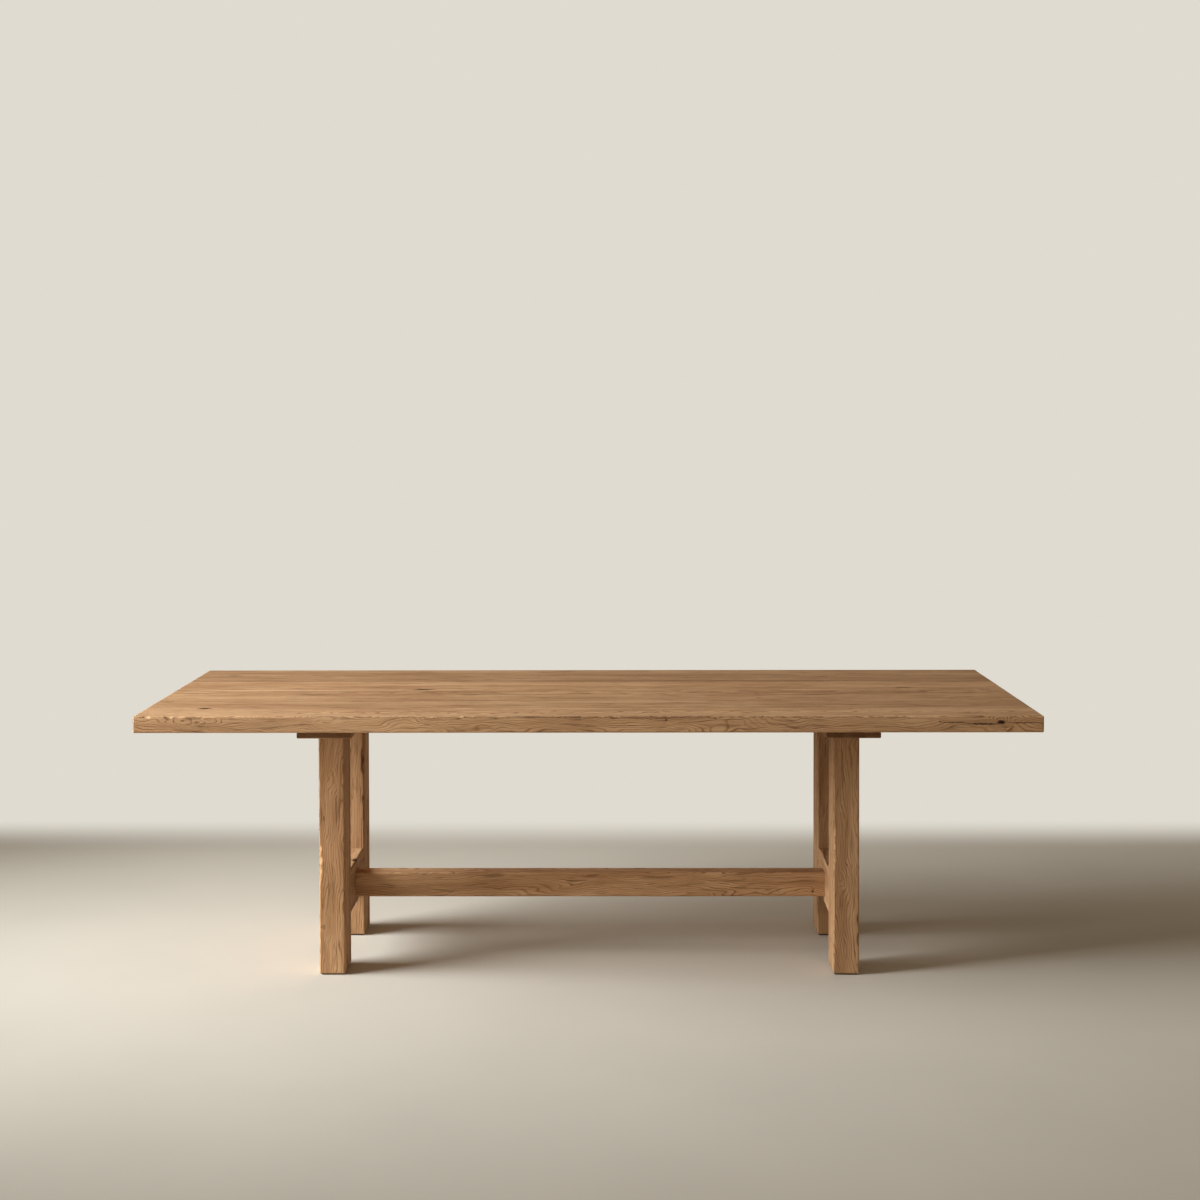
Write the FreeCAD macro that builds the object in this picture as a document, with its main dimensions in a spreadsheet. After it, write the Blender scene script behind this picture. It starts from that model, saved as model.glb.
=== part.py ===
import FreeCAD, Part
import os
import re
import Sketcher

# Trestle dining table in solid oak.
#
# The top is six boards of unequal width, edge glued over loose tongues.  It stands on
# two trestles.  Each trestle is a top cleat, two posts and a cross rail, joined with
# stub tenons, and one low stretcher runs between the two cross rails.  The stretcher is
# pulled home by a bolt and a barrel nut at each end, so that the table comes apart, and
# the cleats hold the top with screws in slots that let it move across the grain.
#
# Frame: origin on the floor under the middle of the table, +X along the length,
# +Y to the back, +Z up.  All sizes are in millimetres.

SIZES = [
    # name, value, what it measures
    ("table_length", 2440, "top, end to end"),
    ("table_width", 915, "top, front to back; the back board takes what the others leave"),
    ("table_height", 760, "floor to the upper face of the top"),
    ("top_thickness", 45, "top boards"),
    ("board_1_width", 146, "front board"),
    ("board_2_width", 122, "second board"),
    ("board_3_width", 197, "third board"),
    ("board_4_width", 188, "fourth board"),
    ("board_5_width", 131, "fifth board"),
    ("top_arris", 2, "easing round the outer edges of the top"),
    ("tongue_thickness", 8, "loose tongue between two boards"),
    ("tongue_reach", 14, "depth of a tongue in each board"),
    ("tongue_stop", 70, "end of the table to the end of a tongue"),
    ("tongue_slack", 0.15, "tongue to groove, each face"),
    ("tongue_end_gap", 1, "tongue to the bottom and the ends of its groove"),
    ("trestle_inset", 465, "end of the table to the outer faces of the posts"),
    ("post_inset", 203, "long edge of the table to the nearest faces of the posts"),
    ("post_width", 72, "post along the table"),
    ("post_depth", 118, "post across the table"),
    ("cleat_thickness", 45, "top cleat"),
    ("cleat_outer_overhang", 56, "cleat past the posts, towards the end of the table"),
    ("cleat_inner_overhang", 26, "cleat past the posts, towards the middle"),
    ("cleat_end_inset", 171, "long edge of the table to the end of a cleat"),
    ("rail_thickness", 68, "cross rail along the table"),
    ("rail_height", 126, "cross rail, lower to upper edge"),
    ("rail_bottom", 140, "floor to the lower edge of the cross rail"),
    ("stretcher_thickness", 58, "stretcher across the table"),
    ("stretcher_height", 71, "stretcher, lower to upper edge"),
    ("stretcher_rise", 21.5, "lower edge of the cross rail to that of the stretcher"),
    ("trestle_arris", 2, "easing on the long edges of cleats, posts, rails and stretcher"),
    ("pad_thickness", 3, "felt pad under a post"),
    ("pad_inset", 4, "face of the post to the edge of its pad"),
    ("pad_corner", 3, "cut corners of a pad"),
    ("tenon_thickness", 24, "post and rail tenons, along the table"),
    ("post_tenon_length", 30, "post tenon into the cleat"),
    ("post_tenon_shoulder", 16, "shoulder at each end of a post tenon"),
    ("rail_tenon_length", 60, "rail tenon into the post"),
    ("rail_tenon_shoulder", 18, "shoulder above and below a rail tenon"),
    ("stretcher_tenon_length", 30, "stretcher tenon into the cross rail"),
    ("stretcher_tenon_cheek", 16, "shoulder on each side of a stretcher tenon"),
    ("stretcher_tenon_shoulder", 15, "shoulder above and below a stretcher tenon"),
    ("mortise_slack", 0.15, "tenon to mortise, each face"),
    ("mortise_end_gap", 2, "end of a tenon to the bottom of its mortise"),
    ("bolt_diameter", 10, "stretcher bolt"),
    ("bolt_head_diameter", 16, "socket head"),
    ("bolt_head_height", 10, "socket head"),
    ("bolt_socket_width", 8, "hexagon socket across its flats"),
    ("bolt_socket_depth", 5, "hexagon socket"),
    ("bolt_point", 1, "chamfer on the tip of the bolt"),
    ("bolt_overrun", 2, "tip of the bolt past the barrel nut"),
    ("bolt_hole_slack", 0.5, "bolt to its hole in the wood, all round"),
    ("bolt_hole_gap", 4, "tip of the bolt to the bottom of its hole"),
    ("bolt_recess_diameter", 26, "counterbore for the bolt head"),
    ("bolt_recess_depth", 14, "counterbore for the bolt head"),
    ("bolt_washer_diameter", 22, "washer under the bolt head"),
    ("bolt_washer_thickness", 2, "washer under the bolt head"),
    ("thread_slack", 0.1, "bolt to the barrel nut and to its washer, all round"),
    ("barrel_diameter", 16, "barrel nut"),
    ("barrel_length", 24, "barrel nut, end to end"),
    ("barrel_setback", 34, "shoulder of the stretcher to the axis of the barrel nut"),
    ("barrel_slack", 0.15, "barrel nut to its hole, all round"),
    ("barrel_slot_width", 2, "screwdriver slot in the barrel nut"),
    ("barrel_slot_depth", 2, "screwdriver slot in the barrel nut"),
    ("screw_diameter", 6, "screw through the cleat into the top"),
    ("screw_length", 60, "screw below its head"),
    ("screw_point", 6, "tapered end of the screw"),
    ("screw_head_diameter", 12, "pan head"),
    ("screw_head_height", 4, "pan head"),
    ("screw_drive_width", 3, "square drive in the head"),
    ("screw_drive_depth", 2, "square drive in the head"),
    ("screw_slack", 0.1, "screw to its pilot hole and washer, all round"),
    ("screw_tip_gap", 2, "tip of the screw to the bottom of its pilot hole"),
    ("screw_washer_diameter", 18, "washer under the screw head"),
    ("screw_washer_thickness", 1.6, "washer under the screw head"),
    ("screw_recess_depth", 14, "recess in the cleat for washer and head"),
    ("screw_recess_slack", 1, "washer to its recess, all round"),
    ("screw_hole_slack", 0.5, "screw to the sides of its hole in the cleat"),
    ("screw_travel", 8, "movement that a slotted hole leaves across the grain"),
    ("screw_end_distance", 46.5, "end of the cleat to its outermost screws"),
]

SHEET = "Sizes"
ALIASES = {alias for alias, size, meaning in SIZES}
SIDES = {"left": -1, "right": 1}
ROWS = {"front": -1, "back": 1}
UP = FreeCAD.Vector(0, 0, 1)
HALF_TURN = 180
HEXAGON_RADIUS_PER_WIDTH = 0.57735

# Places that several pieces share, as expressions of the sizes.
TOP_UNDERSIDE = "(table_height - top_thickness)"
TONGUE_Z = "(table_height - top_thickness / 2)"
CLEAT_UNDERSIDE = "(table_height - top_thickness - cleat_thickness)"
CLEAT_HALF_LENGTH = "(table_width / 2 - cleat_end_inset)"
POST_X = "(table_length / 2 - trestle_inset - post_width / 2)"
POST_Y = "(table_width / 2 - post_inset - post_depth / 2)"
POST_TENON_WIDTH = "(post_depth - 2 * post_tenon_shoulder)"
RAIL_LENGTH = "(table_width - 2 * post_inset - 2 * post_depth)"
RAIL_Z = "(rail_bottom + rail_height / 2)"
RAIL_TENON_HEIGHT = "(rail_height - 2 * rail_tenon_shoulder)"
STRETCHER_HALF = "(%s - rail_thickness / 2)" % POST_X
STRETCHER_Z = "(rail_bottom + stretcher_rise + stretcher_height / 2)"
STRETCHER_TENON_WIDTH = "(stretcher_thickness - 2 * stretcher_tenon_cheek)"
STRETCHER_TENON_HEIGHT = "(stretcher_height - 2 * stretcher_tenon_shoulder)"
BOLT_SEAT = "(rail_thickness / 2 - bolt_recess_depth)"
BOLT_PAST_SHOULDER = "(barrel_setback + barrel_diameter / 2 + bolt_overrun)"
BOLT_LENGTH = "(bolt_washer_thickness + %s + rail_thickness / 2 + %s)" % (
    BOLT_SEAT, BOLT_PAST_SHOULDER)
SCREW_SEAT = "(%s + screw_recess_depth - screw_washer_thickness)" % CLEAT_UNDERSIDE

# Long edges of the top boards, from front to back.
BOARD_EDGES = ["-table_width / 2"]
for number in range(1, 6):
    BOARD_EDGES.append("%s + board_%d_width" % (BOARD_EDGES[-1], number))
BOARD_EDGES.append("table_width / 2")
SEAMS = BOARD_EDGES[1:-1]

# Screws of one trestle: x from the middle of its posts, y from the middle of the table,
# and the travel of the hole.  Two stand at the ends of the wide overhang of the cleat, in
# slots, and two between the posts, in round holes that keep the top in the middle.
OVERHANG_X = "(post_width / 2 + cleat_outer_overhang / 2)"
END_SCREW_Y = "(%s - screw_end_distance)" % CLEAT_HALF_LENGTH
INNER_SCREW_Y = "(%s / 3)" % RAIL_LENGTH
SCREWS = [
    (OVERHANG_X, "-" + END_SCREW_Y, "screw_travel"),
    (OVERHANG_X, END_SCREW_Y, "screw_travel"),
    ("0", "-" + INNER_SCREW_Y, None),
    ("0", INNER_SCREW_Y, None),
]
SCREW_SPOTS = [(x, y) for x, y, travel in SCREWS]

doc = FreeCAD.newDocument("trestle_table")
sheet = doc.addObject("Spreadsheet::Sheet", SHEET)
for row, (alias, size, meaning) in enumerate(SIZES, 1):
    sheet.set("A%d" % row, meaning)
    sheet.set("B%d" % row, str(size))
    sheet.setAlias("B%d" % row, alias)
doc.recompute()


def bound(text):
    """Point every size that an expression names at the sheet."""
    return re.sub(r"[a-z]\w*", lambda m: SHEET + "." + m[0] if m[0] in ALIASES else m[0], text)


def value(text):
    """Number that an expression gives."""
    return float(sheet.evalExpression(bound(text)))


def bind(thing, **properties):
    """Tie properties of an object to expressions; a double underscore stands for a dot."""
    for name, text in properties.items():
        thing.setExpression(name.replace("__", "."), bound(text))


# ------------------------------------------------------------------- sketches

def new_sketch(body, label, plane, level="0"):
    """Sketch on one of the body's origin planes, moved to a level along its normal.

    XY draws x, y at z = level; YZ draws y, z at x = level; XZ draws x, z at y = -level.
    """
    role = plane + "_Plane"
    origin_plane = next(o for o in body.Origin.OriginFeatures if o.Role == role)
    sketch = body.newObject("Sketcher::SketchObject", label)
    sketch.AttachmentSupport = (origin_plane, [""])
    sketch.MapMode = "FlatFace"
    bind(sketch, AttachmentOffset__Base__z=level)
    return sketch


def constrain(sketch, text, kind, *elements):
    """Dimension in a sketch that follows an expression."""
    number = sketch.addConstraint(Sketcher.Constraint(kind, *elements, value(text)))
    sketch.setExpression("Constraints[%d]" % number, bound(text))


def locate(sketch, geometry, point, x, y):
    """Hold one point of a sketch at its distances from the origin."""
    constrain(sketch, x, "DistanceX", -1, 1, geometry, point)
    constrain(sketch, y, "DistanceY", -1, 1, geometry, point)


def draw_polygon(sketch, corners):
    """Closed outline through corners given as pairs of expressions."""
    points = [FreeCAD.Vector(value(x), value(y), 0) for x, y in corners]
    first = sketch.GeometryCount
    count = len(points)
    for i in range(count):
        sketch.addGeometry(Part.LineSegment(points[i], points[(i + 1) % count]), False)
    for i in range(count):
        following = first + (i + 1) % count
        sketch.addConstraint(Sketcher.Constraint("Coincident", first + i, 2, following, 1))
    for i, (x, y) in enumerate(corners):
        locate(sketch, first + i, 1, x, y)


def draw_rectangle(sketch, x, y, width, height):
    """Rectangle about a centre."""
    left = "%s - (%s) / 2" % (x, width)
    right = "%s + (%s) / 2" % (x, width)
    low = "%s - (%s) / 2" % (y, height)
    high = "%s + (%s) / 2" % (y, height)
    draw_polygon(sketch, [(left, low), (right, low), (right, high), (left, high)])


def draw_circle(sketch, x, y, diameter):
    centre = FreeCAD.Vector(value(x), value(y), 0)
    circle = Part.Circle(centre, UP, value(diameter) / 2)
    geometry = sketch.addGeometry(circle, False)
    locate(sketch, geometry, 3, x, y)
    constrain(sketch, diameter, "Diameter", geometry)


def draw_slot(sketch, x, y, width, travel):
    """Round-ended slot along the sketch's y, its centres a travel apart."""
    radius = value(width) / 2
    across = FreeCAD.Vector(radius, 0, 0)
    high = FreeCAD.Vector(value(x), value("%s + %s / 2" % (y, travel)), 0)
    low = FreeCAD.Vector(value(x), value("%s - %s / 2" % (y, travel)), 0)
    cap = Part.Arc(high + across, high + FreeCAD.Vector(0, radius, 0), high - across)
    cup = Part.Arc(low - across, low - FreeCAD.Vector(0, radius, 0), low + across)
    left = Part.LineSegment(high - across, low - across)
    right = Part.LineSegment(low + across, high + across)
    outline = [sketch.addGeometry(piece, False) for piece in (cap, left, cup, right)]
    for i, piece in enumerate(outline):
        following = outline[(i + 1) % len(outline)]
        sketch.addConstraint(Sketcher.Constraint("Tangent", piece, 2, following, 1))
    sketch.addConstraint(Sketcher.Constraint("Equal", outline[0], outline[2]))
    constrain(sketch, width, "Diameter", outline[0])
    locate(sketch, outline[0], 3, x, "%s + %s / 2" % (y, travel))
    locate(sketch, outline[2], 3, x, "%s - %s / 2" % (y, travel))


# ------------------------------------------------------------------- features

def new_body(label):
    body = doc.addObject("PartDesign::Body", label)
    body.Label = label
    return body


def pad(sketch, length, both_ways=False):
    """Solid from a sketch, to its front or evenly to both sides."""
    body = sketch.getParentGeoFeatureGroup()
    feature = body.newObject("PartDesign::Pad", sketch.Name + "_pad")
    feature.Profile = sketch
    feature.SideType = "Symmetric" if both_ways else "One side"
    bind(feature, Length=length)
    doc.recompute()
    return feature


def revolve(sketch, axis):
    """Solid turned from half of its outline about one of the body's axes."""
    body = sketch.getParentGeoFeatureGroup()
    role = axis + "_Axis"
    origin_axis = next(o for o in body.Origin.OriginFeatures if o.Role == role)
    feature = body.newObject("PartDesign::Revolution", sketch.Name + "_turned")
    feature.Profile = sketch
    feature.ReferenceAxis = (origin_axis, [""])
    feature.Angle = 360
    doc.recompute()
    return feature


def pocket(sketch, depth=None, forward=False):
    """Cut from a sketch, backwards or forwards along its normal; through without a depth."""
    body = sketch.getParentGeoFeatureGroup()
    volume_before = body.Shape.Volume
    feature = body.newObject("PartDesign::Pocket", sketch.Name + "_cut")
    feature.Profile = sketch
    feature.Reversed = forward
    if depth is None:
        feature.Type = "ThroughAll"
    else:
        bind(feature, Length=depth)
    doc.recompute()
    if not body.Shape.Volume < volume_before:
        raise RuntimeError(feature.Name + " cuts nothing")
    return feature


def ease(feature, size, chosen):
    """Chamfer the edges of a feature whose two ends pass a test."""
    body = feature.getParentGeoFeatureGroup()
    names = []
    for number, edge in enumerate(feature.Shape.Edges, 1):
        start, end = [vertex.Point for vertex in edge.Vertexes]
        if chosen(start, end):
            names.append("Edge%d" % number)
    chamfer = body.newObject("PartDesign::Chamfer", feature.Name + "_eased")
    chamfer.Base = (feature, names)
    bind(chamfer, Size=size)
    doc.recompute()
    return chamfer


def same(a, b):
    return abs(a - b) < 1e-4


def stand(body, angle, x, y="0"):
    """Place a body: turned about the vertical, at expressions for x and y."""
    body.Placement = FreeCAD.Placement(FreeCAD.Vector(), FreeCAD.Rotation(UP, angle))
    bind(body, Placement__Base__x=x, Placement__Base__y=y)


def stand_on_trestle(body, side):
    """Place what is drawn for the right trestle, about its own middle, on either one."""
    stand(body, 0 if side > 0 else HALF_TURN, "%d * %s" % (side, POST_X))


def stand_on_post(body, side, row):
    """Place what is drawn for a back post, about its own middle, at any corner."""
    angle = 0 if row > 0 else HALF_TURN
    stand(body, angle, "%d * %s" % (side, POST_X), "%d * %s" % (row, POST_Y))


def group(label, members):
    compound = doc.addObject("Part::Compound", label)
    compound.Links = members
    return compound


def on_both_trestles(label, source, spots, z):
    """Equal solids in one node: a body repeated at x and y spots of each trestle."""
    links = []
    for side in SIDES.values():
        for x, y in spots:
            link = doc.addObject("App::Link", label + "_copy")
            link.LinkedObject = source
            turn = FreeCAD.Rotation(UP, 0 if side > 0 else HALF_TURN)
            link.LinkPlacement = FreeCAD.Placement(FreeCAD.Vector(), turn)
            bind(link, LinkPlacement__Base__x="%d * (%s + %s)" % (side, POST_X, x),
                 LinkPlacement__Base__y="%d * (%s)" % (side, y),
                 LinkPlacement__Base__z=z)
            links.append(link)
    return group(label, links)


# ------------------------------------------------------------------------ top

def pilot_holes():
    """Every screw's hole in the top, as one tool that boards and tongues are cut with."""
    drill = doc.addObject("Part::Cylinder", "pilot")
    bind(drill, Radius="screw_diameter / 2 + screw_slack",
         Height="screw_length + screw_tip_gap")
    return on_both_trestles("pilot_holes", drill, SCREW_SPOTS, SCREW_SEAT)


def drilled(label, blank, drills):
    """What is left of a blank once the pilot holes are drilled."""
    piece = doc.addObject("Part::Cut", label)
    piece.Base = blank
    piece.Tool = drills
    return piece


def is_outer_arris(start, end):
    """Whether an edge of a board lies on two outer faces of the whole top."""
    faces = [(0, value("table_length / 2")), (0, -value("table_length / 2")),
             (1, value("table_width / 2")), (1, -value("table_width / 2")),
             (2, value("table_height")), (2, value(TOP_UNDERSIDE))]
    shared = [f for f in faces if same(start[f[0]], f[1]) and same(end[f[0]], f[1])]
    return len(shared) > 1


def groove(body, label, seam, forward):
    """Stopped groove for a loose tongue, in the face of a board at a seam."""
    sketch = new_sketch(body, label, "XZ", "-(%s)" % seam)
    draw_rectangle(sketch, "0", TONGUE_Z,
                   "table_length - 2 * (tongue_stop - tongue_end_gap)",
                   "tongue_thickness + 2 * tongue_slack")
    pocket(sketch, "tongue_reach + tongue_end_gap", forward)


def top_board(number, drills):
    """Board between two long edges, grooved where it meets another."""
    front, back = BOARD_EDGES[number - 1], BOARD_EDGES[number]
    body = new_body("board_%d_blank" % number)
    outline = new_sketch(body, "board_%d" % number, "XY", TOP_UNDERSIDE)
    draw_rectangle(outline, "0", "(%s + %s) / 2" % (front, back), "table_length",
                   "%s - (%s)" % (back, front))
    ease(pad(outline, "top_thickness"), "top_arris", is_outer_arris)
    if front in SEAMS:
        groove(body, "board_%d_front_groove" % number, front, forward=False)
    if back in SEAMS:
        groove(body, "board_%d_back_groove" % number, back, forward=True)
    return drilled("top_board_%d" % number, body, drills)


def top_tongues(drills):
    """Loose tongues in the seams of the top."""
    tongues = []
    for seam in SEAMS:
        tongue = doc.addObject("Part::Box", "tongue")
        bind(tongue, Length="table_length - 2 * tongue_stop", Width="2 * tongue_reach",
             Height="tongue_thickness", Placement__Base__x="tongue_stop - table_length / 2",
             Placement__Base__y="%s - tongue_reach" % seam,
             Placement__Base__z="%s - tongue_thickness / 2" % TONGUE_Z)
        tongues.append(tongue)
    return drilled("top_tongues", group("tongues", tongues), drills)


# ------------------------------------------------------------------- trestles

def cleat(name, side):
    """Bearer under the top: mortised for two posts, drilled and slotted for the screws."""
    body = new_body("cleat_" + name)
    stand_on_trestle(body, side)
    outline = new_sketch(body, "cleat", "XY", CLEAT_UNDERSIDE)
    draw_rectangle(outline, "(cleat_outer_overhang - cleat_inner_overhang) / 2", "0",
                   "cleat_outer_overhang + post_width + cleat_inner_overhang",
                   "2 * " + CLEAT_HALF_LENGTH)
    upper = value(TOP_UNDERSIDE)
    ease(pad(outline, "cleat_thickness"), "trestle_arris",
         lambda start, end: not (same(start.z, upper) and same(end.z, upper)))
    mortises = new_sketch(body, "cleat_mortises", "XY", CLEAT_UNDERSIDE)
    for row in ROWS.values():
        draw_rectangle(mortises, "0", "%d * %s" % (row, POST_Y),
                       "tenon_thickness + 2 * mortise_slack",
                       POST_TENON_WIDTH + " + 2 * mortise_slack")
    pocket(mortises, "post_tenon_length + mortise_end_gap", forward=True)
    recesses = new_sketch(body, "screw_recesses", "XY", CLEAT_UNDERSIDE)
    holes = new_sketch(body, "screw_holes", "XY", CLEAT_UNDERSIDE)
    for x, y, travel in SCREWS:
        for sketch, width in ((recesses, "screw_washer_diameter + 2 * screw_recess_slack"),
                              (holes, "screw_diameter + 2 * screw_hole_slack")):
            if travel:
                draw_slot(sketch, x, y, width, travel)
            else:
                draw_circle(sketch, x, y, width)
    pocket(recesses, "screw_recess_depth", forward=True)
    pocket(holes, forward=True)
    return body


def post(name, side, row):
    """Leg of a trestle: tenoned into the cleat, mortised for the cross rail."""
    body = new_body("post_" + name)
    stand_on_post(body, side, row)
    outline = new_sketch(body, "post", "XY", "pad_thickness")
    draw_rectangle(outline, "0", "0", "post_width", "post_depth")
    upper = value(CLEAT_UNDERSIDE)
    ease(pad(outline, CLEAT_UNDERSIDE + " - pad_thickness"), "trestle_arris",
         lambda start, end: not (same(start.z, upper) and same(end.z, upper)))
    tenon = new_sketch(body, "post_tenon", "XY", CLEAT_UNDERSIDE)
    draw_rectangle(tenon, "0", "0", "tenon_thickness", POST_TENON_WIDTH)
    pad(tenon, "post_tenon_length")
    mortise = new_sketch(body, "post_mortise", "XZ", "post_depth / 2")
    draw_rectangle(mortise, "0", RAIL_Z, "tenon_thickness + 2 * mortise_slack",
                   RAIL_TENON_HEIGHT + " + 2 * mortise_slack")
    pocket(mortise, "rail_tenon_length + mortise_end_gap")
    return body


def cross_rail(name, side):
    """Rail between two posts: mortised for the stretcher, counterbored for its bolt."""
    body = new_body("cross_rail_" + name)
    stand_on_trestle(body, side)
    outline = new_sketch(body, "rail", "XZ")
    draw_rectangle(outline, "0", RAIL_Z, "rail_thickness", "rail_height")
    ease(pad(outline, RAIL_LENGTH, both_ways=True), "trestle_arris",
         lambda start, end: not same(start.y, end.y))
    tenons = new_sketch(body, "rail_tenons", "XZ")
    draw_rectangle(tenons, "0", RAIL_Z, "tenon_thickness", RAIL_TENON_HEIGHT)
    pad(tenons, RAIL_LENGTH + " + 2 * rail_tenon_length", both_ways=True)
    mortise = new_sketch(body, "rail_mortise", "YZ", "-rail_thickness / 2")
    draw_rectangle(mortise, "0", STRETCHER_Z,
                   STRETCHER_TENON_WIDTH + " + 2 * mortise_slack",
                   STRETCHER_TENON_HEIGHT + " + 2 * mortise_slack")
    pocket(mortise, "stretcher_tenon_length + mortise_end_gap", forward=True)
    recess = new_sketch(body, "bolt_recess", "YZ", "rail_thickness / 2")
    draw_circle(recess, "0", STRETCHER_Z, "bolt_recess_diameter")
    pocket(recess, "bolt_recess_depth")
    hole = new_sketch(body, "bolt_hole", "YZ", "rail_thickness / 2")
    draw_circle(hole, "0", STRETCHER_Z, "bolt_diameter + 2 * bolt_hole_slack")
    pocket(hole)
    return body


def stretcher():
    """Beam between the trestles, tenoned and bored at both ends."""
    body = new_body("stretcher")
    outline = new_sketch(body, "beam", "YZ")
    draw_rectangle(outline, "0", STRETCHER_Z, "stretcher_thickness", "stretcher_height")
    ease(pad(outline, "2 * " + STRETCHER_HALF, both_ways=True), "trestle_arris",
         lambda start, end: not same(start.x, end.x))
    tenons = new_sketch(body, "beam_tenons", "YZ")
    draw_rectangle(tenons, "0", STRETCHER_Z, STRETCHER_TENON_WIDTH, STRETCHER_TENON_HEIGHT)
    pad(tenons, "2 * (%s + stretcher_tenon_length)" % STRETCHER_HALF, both_ways=True)
    barrels = new_sketch(body, "barrel_holes", "XY", STRETCHER_Z + " - stretcher_height / 2")
    for name, side in SIDES.items():
        draw_circle(barrels, "%d * (%s - barrel_setback)" % (side, STRETCHER_HALF), "0",
                    "barrel_diameter + 2 * barrel_slack")
        bolt = new_sketch(body, "bolt_bore_" + name, "YZ",
                          "%d * (%s + stretcher_tenon_length)" % (side, STRETCHER_HALF))
        draw_circle(bolt, "0", STRETCHER_Z, "bolt_diameter + 2 * bolt_hole_slack")
        pocket(bolt, "stretcher_tenon_length + %s + bolt_hole_gap" % BOLT_PAST_SHOULDER,
               forward=side < 0)
    pocket(barrels, "stretcher_height / 2 + barrel_length / 2", forward=True)
    return body


def felt_pad(name, side, row):
    """Glide glued under a post."""
    body = new_body("felt_pad_" + name)
    stand_on_post(body, side, row)
    outline = new_sketch(body, "felt", "XY")
    draw_rectangle(outline, "0", "0", "post_width - 2 * pad_inset",
                   "post_depth - 2 * pad_inset")
    ease(pad(outline, "pad_thickness"), "pad_corner",
         lambda start, end: not same(start.z, end.z))
    return body


# ------------------------------------------------------------------ fastenings

def washer(label, plane, diameter, thickness, hole):
    body = new_body(label)
    outline = new_sketch(body, label + "_ring", plane)
    draw_circle(outline, "0", "0", diameter)
    draw_circle(outline, "0", "0", hole)
    pad(outline, thickness)
    return body


def stretcher_bolt():
    """Socket head bolt along x: its head's underside at its own origin, its tip inwards."""
    body = new_body("stretcher_bolt")
    outline = new_sketch(body, "bolt", "XZ")
    draw_polygon(outline, [
        ("bolt_head_height", "0"),
        ("bolt_head_height", "bolt_head_diameter / 2"),
        ("0", "bolt_head_diameter / 2"),
        ("0", "bolt_diameter / 2"),
        ("bolt_point - " + BOLT_LENGTH, "bolt_diameter / 2"),
        ("-" + BOLT_LENGTH, "bolt_diameter / 2 - bolt_point"),
        ("-" + BOLT_LENGTH, "0")])
    revolve(outline, "X")
    socket = new_sketch(body, "socket", "YZ", "bolt_head_height")
    flat = "bolt_socket_width / 2"
    corner = "bolt_socket_width * %g" % HEXAGON_RADIUS_PER_WIDTH
    draw_polygon(socket, [
        ("0", "-" + corner), (flat, "-%s / 2" % corner), (flat, "%s / 2" % corner),
        ("0", corner), ("-" + flat, "%s / 2" % corner), ("-" + flat, "-%s / 2" % corner)])
    pocket(socket, "bolt_socket_depth")
    return body


def barrel_nut():
    """Upright cross-drilled nut, slotted at its lower end for lining up."""
    body = new_body("barrel_nut")
    outline = new_sketch(body, "barrel", "XY", "-barrel_length / 2")
    draw_circle(outline, "0", "0", "barrel_diameter")
    pad(outline, "barrel_length")
    thread = new_sketch(body, "thread", "YZ", "barrel_diameter / 2")
    draw_circle(thread, "0", "0", "bolt_diameter + 2 * thread_slack")
    pocket(thread)
    slot = new_sketch(body, "slot", "XY", "-barrel_length / 2")
    draw_rectangle(slot, "0", "0", "2 * barrel_diameter", "barrel_slot_width")
    pocket(slot, "barrel_slot_depth", forward=True)
    return body


def wood_screw():
    """Pan head screw, point up, its head's underside at its own origin."""
    body = new_body("wood_screw")
    outline = new_sketch(body, "screw", "XZ")
    draw_polygon(outline, [
        ("0", "-screw_head_height"),
        ("screw_head_diameter / 2", "-screw_head_height"),
        ("screw_head_diameter / 2", "0"),
        ("screw_diameter / 2", "0"),
        ("screw_diameter / 2", "screw_length - screw_point"),
        ("0", "screw_length")])
    revolve(outline, "Z")
    drive = new_sketch(body, "drive", "XY", "-screw_head_height")
    draw_rectangle(drive, "0", "0", "screw_drive_width", "screw_drive_width")
    pocket(drive, "screw_drive_depth", forward=True)
    return body


# ---------------------------------------------------------------- the assembly

pieces = []
drills = pilot_holes()
for number in range(1, len(BOARD_EDGES)):
    pieces.append(top_board(number, drills))
pieces.append(top_tongues(drills))
for name, side in SIDES.items():
    pieces.append(cleat(name, side))
    pieces.append(cross_rail(name, side))
    for row_name, row in ROWS.items():
        corner = row_name + "_" + name
        pieces.append(post(corner, side, row))
        pieces.append(felt_pad(corner, side, row))
pieces.append(stretcher())

bolt_washer = washer("bolt_washer", "YZ", "bolt_washer_diameter", "bolt_washer_thickness",
                     "bolt_diameter + 2 * thread_slack")
screw_washer = washer("screw_washer", "XY", "screw_washer_diameter",
                      "screw_washer_thickness", "screw_diameter + 2 * screw_slack")
HEAD_X = BOLT_SEAT + " + bolt_washer_thickness"
BARREL_X = "(-rail_thickness / 2 - barrel_setback)"
for label, source, spots, z in (
        ("stretcher_bolts", stretcher_bolt(), [(HEAD_X, "0")], STRETCHER_Z),
        ("bolt_washers", bolt_washer, [(BOLT_SEAT, "0")], STRETCHER_Z),
        ("barrel_nuts", barrel_nut(), [(BARREL_X, "0")], STRETCHER_Z),
        ("top_screws", wood_screw(), SCREW_SPOTS, SCREW_SEAT),
        ("screw_washers", screw_washer, SCREW_SPOTS, SCREW_SEAT)):
    pieces.append(on_both_trestles(label, source, spots, z))

doc.recompute()
for thing in doc.Objects:
    if "Invalid" in thing.State or "Error" in thing.State:
        raise RuntimeError("%s failed: %s" % (thing.Name, thing.State))
for piece in pieces:
    if piece.Shape.isNull() or not piece.Shape.isValid():
        raise RuntimeError("no valid solid for " + piece.Label)

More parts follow.
